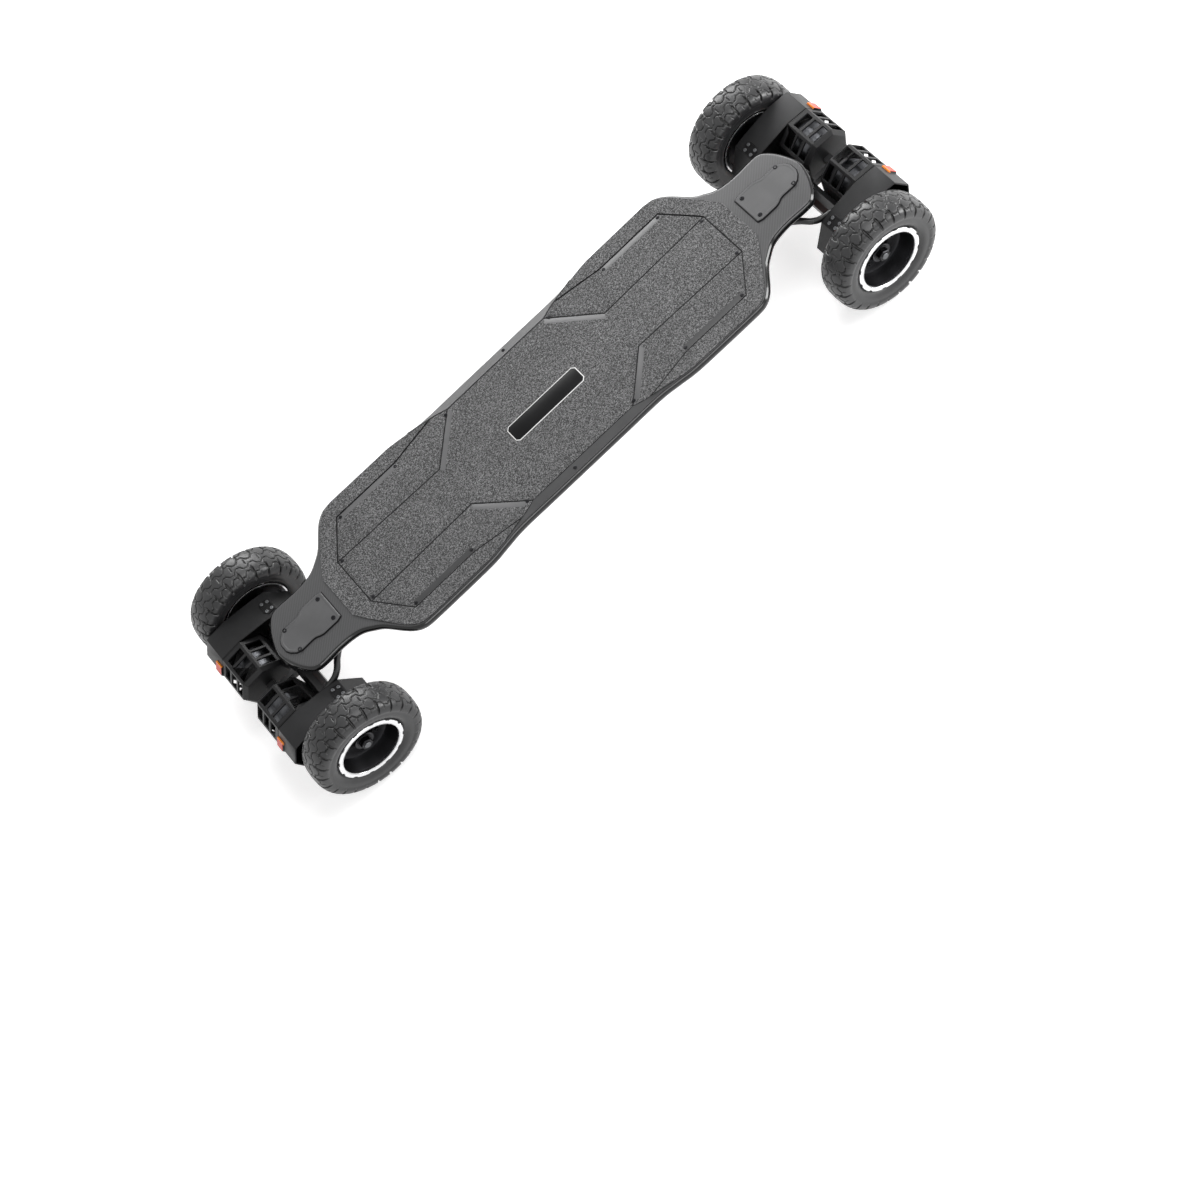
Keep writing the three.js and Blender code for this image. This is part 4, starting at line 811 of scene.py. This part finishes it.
def ring_with_notches():
    """Bead ring: its outer edge steps in at evenly spaced notches."""
    share = around(RING_TURNS) / (2 * np.pi)
    beat = np.abs((share * NOTCHES + 0.5) % 1 - 0.5)
    bite = NOTCH_DEPTH * (1 - step_up(beat, 0.1, 0.12))
    radius, along = np.array(BEAD_RING).T
    points = turned(radius - bite[:, None] * (radius > 45), along, RING_TURNS)
    return points.reshape(-1, 3), grid_faces(RING_TURNS, len(radius), True, True)


def bolt_circle(count, start, circle, along, radius, height):
    """Screw heads that look outward, evenly spaced on a circle about the axle."""
    return joined([screw_head((circle * math.sin(a), along, circle * math.cos(a)), radius, height, OUTWARD)
                   for a in start + around(count)])


hub_shape = joined([solid_of_turn(HUB, 96), bolt_circle(HUB_BOLTS, 0.3, 25, -5.4, 3.4, 3.0)])
WHEEL_SHAPES = [
    ("dished_hub", hub_shape, hub_black, "wheel_hub", True),
    ("rim_ring", ring_with_notches(), bright_ring, "bead_ring", True),
    ("ring_studs", bolt_circle(HUB_STUDS, 0.26, 46.6, 21.5, 1.3, 0.38), blackened_steel, "bead_ring", False),
    ("rim_lip", solid_of_turn(LIP, 96), bright_ring, "wheel_hub", False)]
for name, way, side in CORNERS:
    for own_name, shape, finish, node_name, stands_in in WHEEL_SHAPES:
        here = mirrored(shape, way, side, WHEEL)
        add_piece(name + own_name, here, finish, 30, name + node_name, stands_in)
    dressed(name + "wheel_gear", gear_steel, 0.25)

# %% [markdown]
# ## Motors, cages and housings
# The cages and housings are moulded in stiff nylon. Their own CAD shapes get rounded edges;
# the clip on the housing's outer corner is picked out by its place, red-orange on its walls
# and orange on its roof.

# %% Motors
MOTOR = np.array([508.93, 0.0, 89.99])
CAN = [
    (0.02, 18.4), (3.6, 18.4), (4.0, 18.8), (4.0, 20.1), (24.0, 20.1), (26.5, 20.6), (28.3, 22.2),
    (28.3, 25.5), (27.4, 26.0), (27.4, 28.0), (28.3, 28.5), (28.3, 57.0), (27.4, 57.6), (27.4, 59.8),
    (28.3, 60.4), (28.3, 61.8), (27.2, 62.6), (4.0, 62.6), (4.0, 89.9), (0.02, 89.9)]
CAN_TURNS = 112
FLUTE_DEPTH, FLUTE_START, FLUTE_END = 0.45, 28.2, 57.4
FLUTED_RADIUS = 28.2
PINION_START = 88.5


def wavy_can():
    """The can's long middle has fourteen shallow flutes, as its magnets show through."""
    radius, along = np.array(CAN).T
    angle = around(CAN_TURNS)[:, None]
    flute = FLUTE_DEPTH * (step_up(np.abs(np.sin(7 * angle)), 0.0, 0.35) - 1)
    fluted = (along > FLUTE_START) & (along < FLUTE_END)
    points = turned(radius * np.where(fluted, 1 + flute / FLUTED_RADIUS, 1.0), along, CAN_TURNS)
    return points.reshape(-1, 3), grid_faces(CAN_TURNS, len(CAN), True, False)


def bisected(body, place, way, **cut):
    """Cuts the whole bmesh along a plane; returns what the cut made."""
    everything = body.verts[:] + body.edges[:] + body.faces[:]
    return bmesh.ops.bisect_plane(body, geom=everything, plane_co=place, plane_no=way, **cut)["geom_cut"]


def pinion_skin(node_name, side):
    """The rotor's own pinion and shaft tip: the copy is cut off square inboard of the teeth."""
    mesh = frame["nodes"][node_name].data.copy()
    body = welded(mesh, 0.01)
    cut = bisected(body, (0, side * PINION_START * MM, 0), (0, side, 0), clear_inner=True)
    rim = [item for item in cut if isinstance(item, bmesh.types.BMEdge)]
    bmesh.ops.holes_fill(body, edges=rim)
    bmesh.ops.recalc_face_normals(body, faces=body.faces)
    write_back(body, mesh)
    return settle(soften(new_object(node_name + "_pinion", mesh, gear_steel), 35), node_name)


for name, way, side in CORNERS:
    rotor = name + "motor_rotor"
    add_piece(name + "motor_can", mirrored(wavy_can(), way, side, MOTOR), motor_can, 30, rotor, True)
    pinion_skin(rotor, side)
    dressed(name + "motor_guard", cage_nylon, 0.8, 30)
    pad = dressed(name + "skid_pad", [orange_anodised, red_orange], 0.7, 20)
    paint(pad, lambda face: face.normal.z > -0.9)
print("motor cans", len(CORNERS), "with", CAN_TURNS, "sides")

# %% Housings with their clips
CLIP_CORNERS = np.array([(499.0, 131.0), (531.0, 128.0), (547.0, 102.0), (538.0, 68.0), (494.0, 40.0)])
CLIP_INNER, CLIP_OUTER, CLIP_ROOF_END = 69.5, 84.6, 541.5


def proud_of(xz, corners, origin):
    """Signed distance outside a convex run of edges, the largest over its edges."""
    best = np.full(len(xz), -99.0)
    for a, b in zip(corners[:-1], corners[1:]):
        way = (b - a) / np.linalg.norm(b - a)
        normal = np.array([way[1], -way[0]])
        normal *= np.sign(normal @ (a - origin))
        best = np.maximum(best, (xz - a) @ normal)
    return best


for name, way, side in CORNERS:
    housing = dressed(name + "drive_housing", [housing_nylon, red_orange, orange_anodised], 0.9, 30)
    body = bmesh.new()
    body.from_mesh(housing.data)
    bisected(body, (way * CLIP_ROOF_END * MM, 0, 0), (1, 0, 0))
    write_back(body, housing.data)
    faces = housing.data.polygons
    x, y, z = (np.array([face.center for face in faces]) / MM * [way, side, 1]).T
    out = proud_of(np.c_[x, z], CLIP_CORNERS, MOTOR[[0, 2]])
    on_clip = (out > 0.25) & (y > CLIP_INNER) & (y < CLIP_OUTER)
    on_roof = np.array([abs(face.normal.z) > 0.7 for face in faces]) | ((x < CLIP_ROOF_END) & (z > 100))
    faces.foreach_set("material_index", np.where(on_clip, 1 + on_roof, 0).astype(np.int32))
    print(name + "housing", int(on_clip.sum()), "clip faces")

# %% Screwed covers on the housings
FACET_FOOT, FACET_TOP = np.array([432.51, 0, 117.43]), np.array([451.99, 0, 122.99])
FACET_WAY = (FACET_TOP - FACET_FOOT) / np.linalg.norm(FACET_TOP - FACET_FOOT)
FACET_OUT = np.array([-FACET_WAY[2], 0, FACET_WAY[0]])


def on_facet(shape):
    """Puts (along the facet, along the axle, out of it) on the housing's sloping top."""
    u, v, h = shape[0].T[:, :, None]
    middle_point = (FACET_FOOT + FACET_TOP) / 2 + [0, 88.0, 0]
    return middle_point + u * FACET_WAY + v * [0, 1, 0] + h * FACET_OUT, shape[1]


COVER = [(-8.5, -10), (3.5, -12), (8.5, -6), (8.5, 6), (3.5, 12), (-8.5, 10)]
COVER_LEVELS = [(0, 0.05), (0, 0.7), (0.5, 1.1), (1.8, 1.1), (2.2, 0.5)]
COVER_SCREWS = [(-5, -6), (-5, 6), (3.2, -7), (3.2, 7)]
cover = on_facet(stack(COVER, COVER_LEVELS))
cover_screws = on_facet(joined([screw_head((u, v, 0.5), 2.5, 1.2) for u, v in COVER_SCREWS]))
for name, way, side in CORNERS:
    housing = name + "drive_housing"
    add_piece(name + "housing_cover", mirrored(cover, way, side), black_and_painted_shade, 25, housing)
    add_piece(name + "cover_screws", mirrored(cover_screws, way, side), gear_steel, 30, housing)

# %% [markdown]
# ## The trucks
# Forged arms and beams carry the axle. Their CAD shapes are right, so they keep them, with
# rounded edges; the round bushings, bolts and nuts are turned afresh so that they are smooth.
# Each bushing is squeezed between its washer and the arm, so it blends from one to the other.

# %% Trucks
TILT = math.radians(20)
PIN_WAY = np.array([-math.sin(TILT), 0, math.cos(TILT)])
PIN_TURN = np.array(Vector(OUTWARD).rotation_difference(Vector(PIN_WAY)).to_matrix())
# Foot of each pin, height of the arm's seat ring, gap for the cone above it, length of the pin.
PINS = {"outer": (np.array([440.0, 0, 69.0]), 12.0, 10.0, 64.2),
        "inner": (np.array([403.5, 0, 91.0]), 10.0, 5.6, 41.8)}
BARREL_FOOT, SEAT, PLAY = 9.3, 21.0, 0.3


def on_pin(profile, foot, turns=56):
    """A body of turn about a tilted kingpin: its Y axis is laid along the pin."""
    points, faces = solid_of_turn(profile, turns)
    return points @ PIN_TURN.T + foot, faces


def barrel_profile():
    """The lower bushing, bellied, between the cupped washer and the arm's seat."""
    belly = [(12.2, 0.0), (12.9, 0.6), (13.3, 2.2), (13.5, 4.0), (13.55, 5.6), (13.5, 7.2), (13.3, 9.0),
             (12.9, 10.8), (12.2, 11.4)]
    flank = [(r, BARREL_FOOT + h) for r, h in belly]
    return [(5.4, BARREL_FOOT), *flank, (7.4, SEAT - PLAY), (6.4, 15.0)]


def cone_profile(low, top):
    """The upper bushing, a cone with rounded rims, above the arm's seat."""
    share = np.linspace(0, 1, 5)[1:-1]
    flank = [(12.2 - 0.8 * t, low + 0.7 + (top - low - 1.5) * t) for t in share]
    return [(7.4, low), (11.6, low), (12.2, low + 0.7), *flank, (11.4, top - 0.8), (10.6, top), (5.4, top)]


def pin_parts(foot, length):
    """Cap nut with six flats, cupped washer, plain rod and a round head with a socket."""
    nut = [(0.02, 0.0), (5.2, 0.0), (7.0, 0.8), (8.3, 2.2), (8.3, 6.9), (0.02, 6.9)]
    washer = [(5.1, 6.9), (11.8, 6.9), (12.4, 7.4), (12.4, 8.7), (11.6, 9.0), (5.1, 9.0)]
    rod = [(0.02, 3.0), (4.9, 3.0), (4.9, length - 1.0), (0.02, length - 1.0)]
    head = [(3.0, length - 2.4), (3.0, length - 0.4), (7.2, length - 0.2), (7.9, length - 0.9),
            (7.9, length - 3.5), (3.0, length - 3.5)]
    return joined([on_pin(nut, foot, 6), on_pin(washer, foot), on_pin(rod, foot, 24), on_pin(head, foot)])


for end, way in ENDS.items():
    for node_name, bevel in (("baseplate", 0.8), ("link", 0.9), ("hanger", 0.9)):
        dressed(f"{end}_{node_name}", black_coat, bevel, 30)
    for pin, (foot, ring, gap_above, length) in PINS.items():
        low, top = SEAT + ring + PLAY, SEAT + ring + gap_above - PLAY
        arm, name = f"{end}_link_arm", f"{end}_{pin}_"
        halves = [("barrel", barrel_profile(), BARREL_FOOT, SEAT - PLAY),
                  ("cone", cone_profile(low, top), top, low)]
        for half, profile, first, last in halves:
            soft = soften(add_mesh(name + half, mirrored(on_pin(profile, foot), way), urethane), 35)
            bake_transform(soft)
            if half == "barrel":
                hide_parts(name + "bushings")
        add_piece(name + "bolt", mirrored(pin_parts(foot, length), way), blackened_steel, 30,
                  name + "kingpin", True)
    print(end, "truck", len(PINS), "pins")

# %% Grey covers between the tray and the base plates
NOSE_COVER = [(334, -24), (334, 24), (337, 27), (349, 27), (351.4, 24.6), (351.4, -24.6), (349, -27),
              (337, -27)]
nose_cover = stack(NOSE_COVER, [(1.0, 130.2), (0, 131.2), (0, 133.9)])
for end, way in ENDS.items():
    add_piece(end + "_nose_cover", mirrored(nose_cover, way), cover_grey, 25, end + "_baseplate")

# %% Axles
AXLE_CENTRE = (460.0, 0.0, 82.5)
AXLE = [(0.02, -155.2), (4.2, -155.2), (4.9, -154.4), (4.9, 154.4), (4.2, 155.2), (0.02, 155.2)]
AXLE_NUT = [(5.0, 147.1), (8.6, 147.1), (9.3, 147.9), (9.3, 152.6), (8.4, 153.7), (5.0, 153.7)]
WASHER = [(5.0, 146.9), (10.6, 146.9), (10.6, 147.5), (5.0, 147.5)]
fixings = joined([mirrored(solid_of_turn(section, turns), 1, side)
                  for section, turns in ((AXLE_NUT, 6), (WASHER, 48)) for side in (1, -1)])
for end, way in ENDS.items():
    shaft = mirrored(solid_of_turn(AXLE, 32), way, 1, AXLE_CENTRE)
    add_piece(end + "_through_axle", shaft, axle_steel, 30, end + "_axle", True)
    add_piece(end + "_axle_nuts", mirrored(fixings, way, 1, AXLE_CENTRE), blackened_steel, 30, end + "_axle")

# %% [markdown]
# ## The motor leads
# Each truck has one harness. It leaves the tray through two glands, runs under the nose and
# loops to both drive housings. The run under the nose and the two loops are separate pieces.

# %% Motor leads
LEAD_RADIUS = 4.5
LEAD_ROUTE = [
    (454, 69.5, 110), (451, 65.5, 110), (444, 64.5, 111), (434, 63.5, 113.5), (424, 59, 117),
    (414, 49, 120.5), (402, 40, 123), (390, 36, 124), (376, 35, 124.5), (360, 40, 125), (346, 36, 124.2),
    (332, 34, 124), (318, 34, 124), (303, 34, 124), (291, 26, 123), (285, 10, 122),
]
LEAD_RINGS, LOOPS_BEYOND = 261, 426.0
route = smooth_line(LEAD_ROUTE + [(x, -y, z) for x, y, z in LEAD_ROUTE[::-1]], LEAD_RINGS)
in_loop = np.where(route[:, 0] > LOOPS_BEYOND)[0]
left_end = in_loop[in_loop < LEAD_RINGS // 2][-1] + 1
right_start = in_loop[in_loop > LEAD_RINGS // 2][0]
lead_run = tube(route[left_end:right_start], LEAD_RADIUS)
lead_loops = joined([tube(line, LEAD_RADIUS) for line in (route[:left_end + 1], route[right_start - 1:])])
for end, way in ENDS.items():
    run = soften(add_mesh(end + "_lead_run", mirrored(lead_run, way), cable_jacket), 50)
    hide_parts(end + "_motor_leads")
    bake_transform(run)
    loops = soften(add_mesh(end + "_lead_loops", mirrored(lead_loops, way), cable_jacket), 50)
    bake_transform(loops)
print("harness", round(np.linalg.norm(np.diff(route, axis=0), axis=1).sum()), "mm long")

# %% Ribbed sleeves on the leads
SLEEVE_ROUTE = [(388, 34.5, 124.2), (376, 35, 124.5), (360, 40, 125), (350, 37, 124.4)]
SLEEVE_RINGS = 61
swell = 5.5 + 0.35 * np.sin(np.linspace(0, 22 * np.pi, SLEEVE_RINGS))
swell[[0, -1]] = 4.7
straight = smooth_line(SLEEVE_ROUTE, SLEEVE_RINGS)
for end, way in ENDS.items():
    for hand, side in SIDES.items():
        shape = tube(straight * [way, side, 1], swell, 24)
        add_piece(f"{end}_{hand}_lead_sleeve", shape, sleeve_rubber, 50, "deck")

# %% [markdown]
# ## Tray, hatches and sockets
# The tray is a satin moulding. Its hatches are cut in three by fine seams, and a small
# rubber cap and a button sit on its left wall.

# %% Tray, hatches and small parts
dressed("battery_tray", tray_plastic, 2.2, 12, 3)
HATCH_WING = [(231.5, 25), (231.5, 45), (265, 65), (294, 68), (306, 53), (312, 28), (312, 25)]
HATCH_MIDDLE = [(231.5, 25), (231.5, -25), (312, -25), (312, 25)]
HATCH_LEVELS = [(0.6, 104.0), (0.25, 104.35), (0.25, 106.2)]
ARROW = [(223, 1.5), (223, 10), (229, 1.5)]
ARROW_LEVELS = [(0, 103.85), (0, 104.2)]
outlines = [HATCH_WING, HATCH_MIDDLE, flipped(HATCH_WING, 1, -1)]
hatch = joined([stack(outline, HATCH_LEVELS) for outline in outlines])
arrows = joined([stack(flipped(ARROW, 1, side), ARROW_LEVELS) for side in (1, -1)])
for end, way in ENDS.items():
    node_name = end + "_hatch"
    add_piece(node_name + "_panels", mirrored(hatch, way), hatch_plastic, 25, node_name, True)
    add_piece(node_name + "_arrows", mirrored(arrows, way), orange_anodised, 25, node_name)
dressed("charge_port", soft_rubber, 0.5)
dressed("port_cap", soft_rubber, 0.5)
dressed("power_button", soft_rubber, 0.6)
frame["nodes"]["battery_pack"].data.materials[0] = shrink_wrap
frame["nodes"]["motor_controller"].data.materials[0] = case_alloy

# %% [markdown]
# ## Studio
# A pale floor, a soft sky, two large lamps, a long strip that draws a line on the glossy
# rail, and a low lamp at the nose's side that catches the tyre shoulders. Floor and sky are
# whiter for the rays that show the background, so it is white with no more light on the board.

# %% Floor and light
def background_rays(tree):
    """1 for rays that show the background: camera, glossy and transmission rays; else 0."""
    path = node(tree, "ShaderNodeLightPath").outputs
    shown = maths(tree, "MAXIMUM", path["Is Camera Ray"], path["Is Glossy Ray"])
    return maths(tree, "MAXIMUM", shown, path["Is Transmission Ray"])


floor_finish, tree, shader, place = new_finish("white_paper_floor", "#f6f6f6", 0.9)
paper = grain(tree, place, 3.0, 2)
raise_skin(tree, shader, paper, 0.05)
shader.inputs["Emission Color"].default_value = linear("#ffffff")
tree.links.new(span(tree, background_rays(tree), 0, 0.5), shader.inputs["Emission Strength"])
FLOOR_REACH = 9000.0
square = np.array([(-1, -1, 0), (1, -1, 0), (1, 1, 0), (-1, 1, 0)])
floor = add_mesh("floor", (square * FLOOR_REACH, [[0, 1, 2, 3]]), floor_finish, recalc=False)
world = bpy.data.worlds.new("sky")
world.use_nodes = True
sky = world.node_tree.nodes["Background"]
sky.inputs["Color"].default_value = (1, 1, 1, 1)
tree = world.node_tree
tree.links.new(span(tree, background_rays(tree), 0.4, 1.0), sky.inputs["Strength"])
bpy.context.scene.world = world


def softbox(name, place, aim, width, height, power):
    """A rectangular lamp that faces its aim point; places are in metres."""
    data = bpy.data.lights.new(name, "AREA")
    data.shape, data.size, data.size_y, data.energy = "RECTANGLE", width, height, power
    lamp = bpy.data.objects.new(name, data)
    lamp.location = place
    lamp.rotation_euler = (Vector(aim) - Vector(place)).to_track_quat("-Z", "Y").to_euler()
    bpy.context.scene.collection.objects.link(lamp)


softbox("key_softbox", (1.1, 2.2, 1.4), (0.2, 0, 0.1), 2.2, 1.0, 72)
softbox("top_softbox", (0.9, -0.2, 3.0), (0.1, 0, 0.1), 1.4, 1.0, 26)
softbox("rail_strip", (0.3, -2.7, 1.85), (0, 0, 0.15), 3.4, 0.36, 26)
softbox("side_softbox", (2.5, -1.0, 0.75), (0.4, 0, 0.1), 1.1, 1.3, 60)
print("lamps", len(bpy.data.lights))
bpy.context.scene.view_settings.view_transform = "Standard"
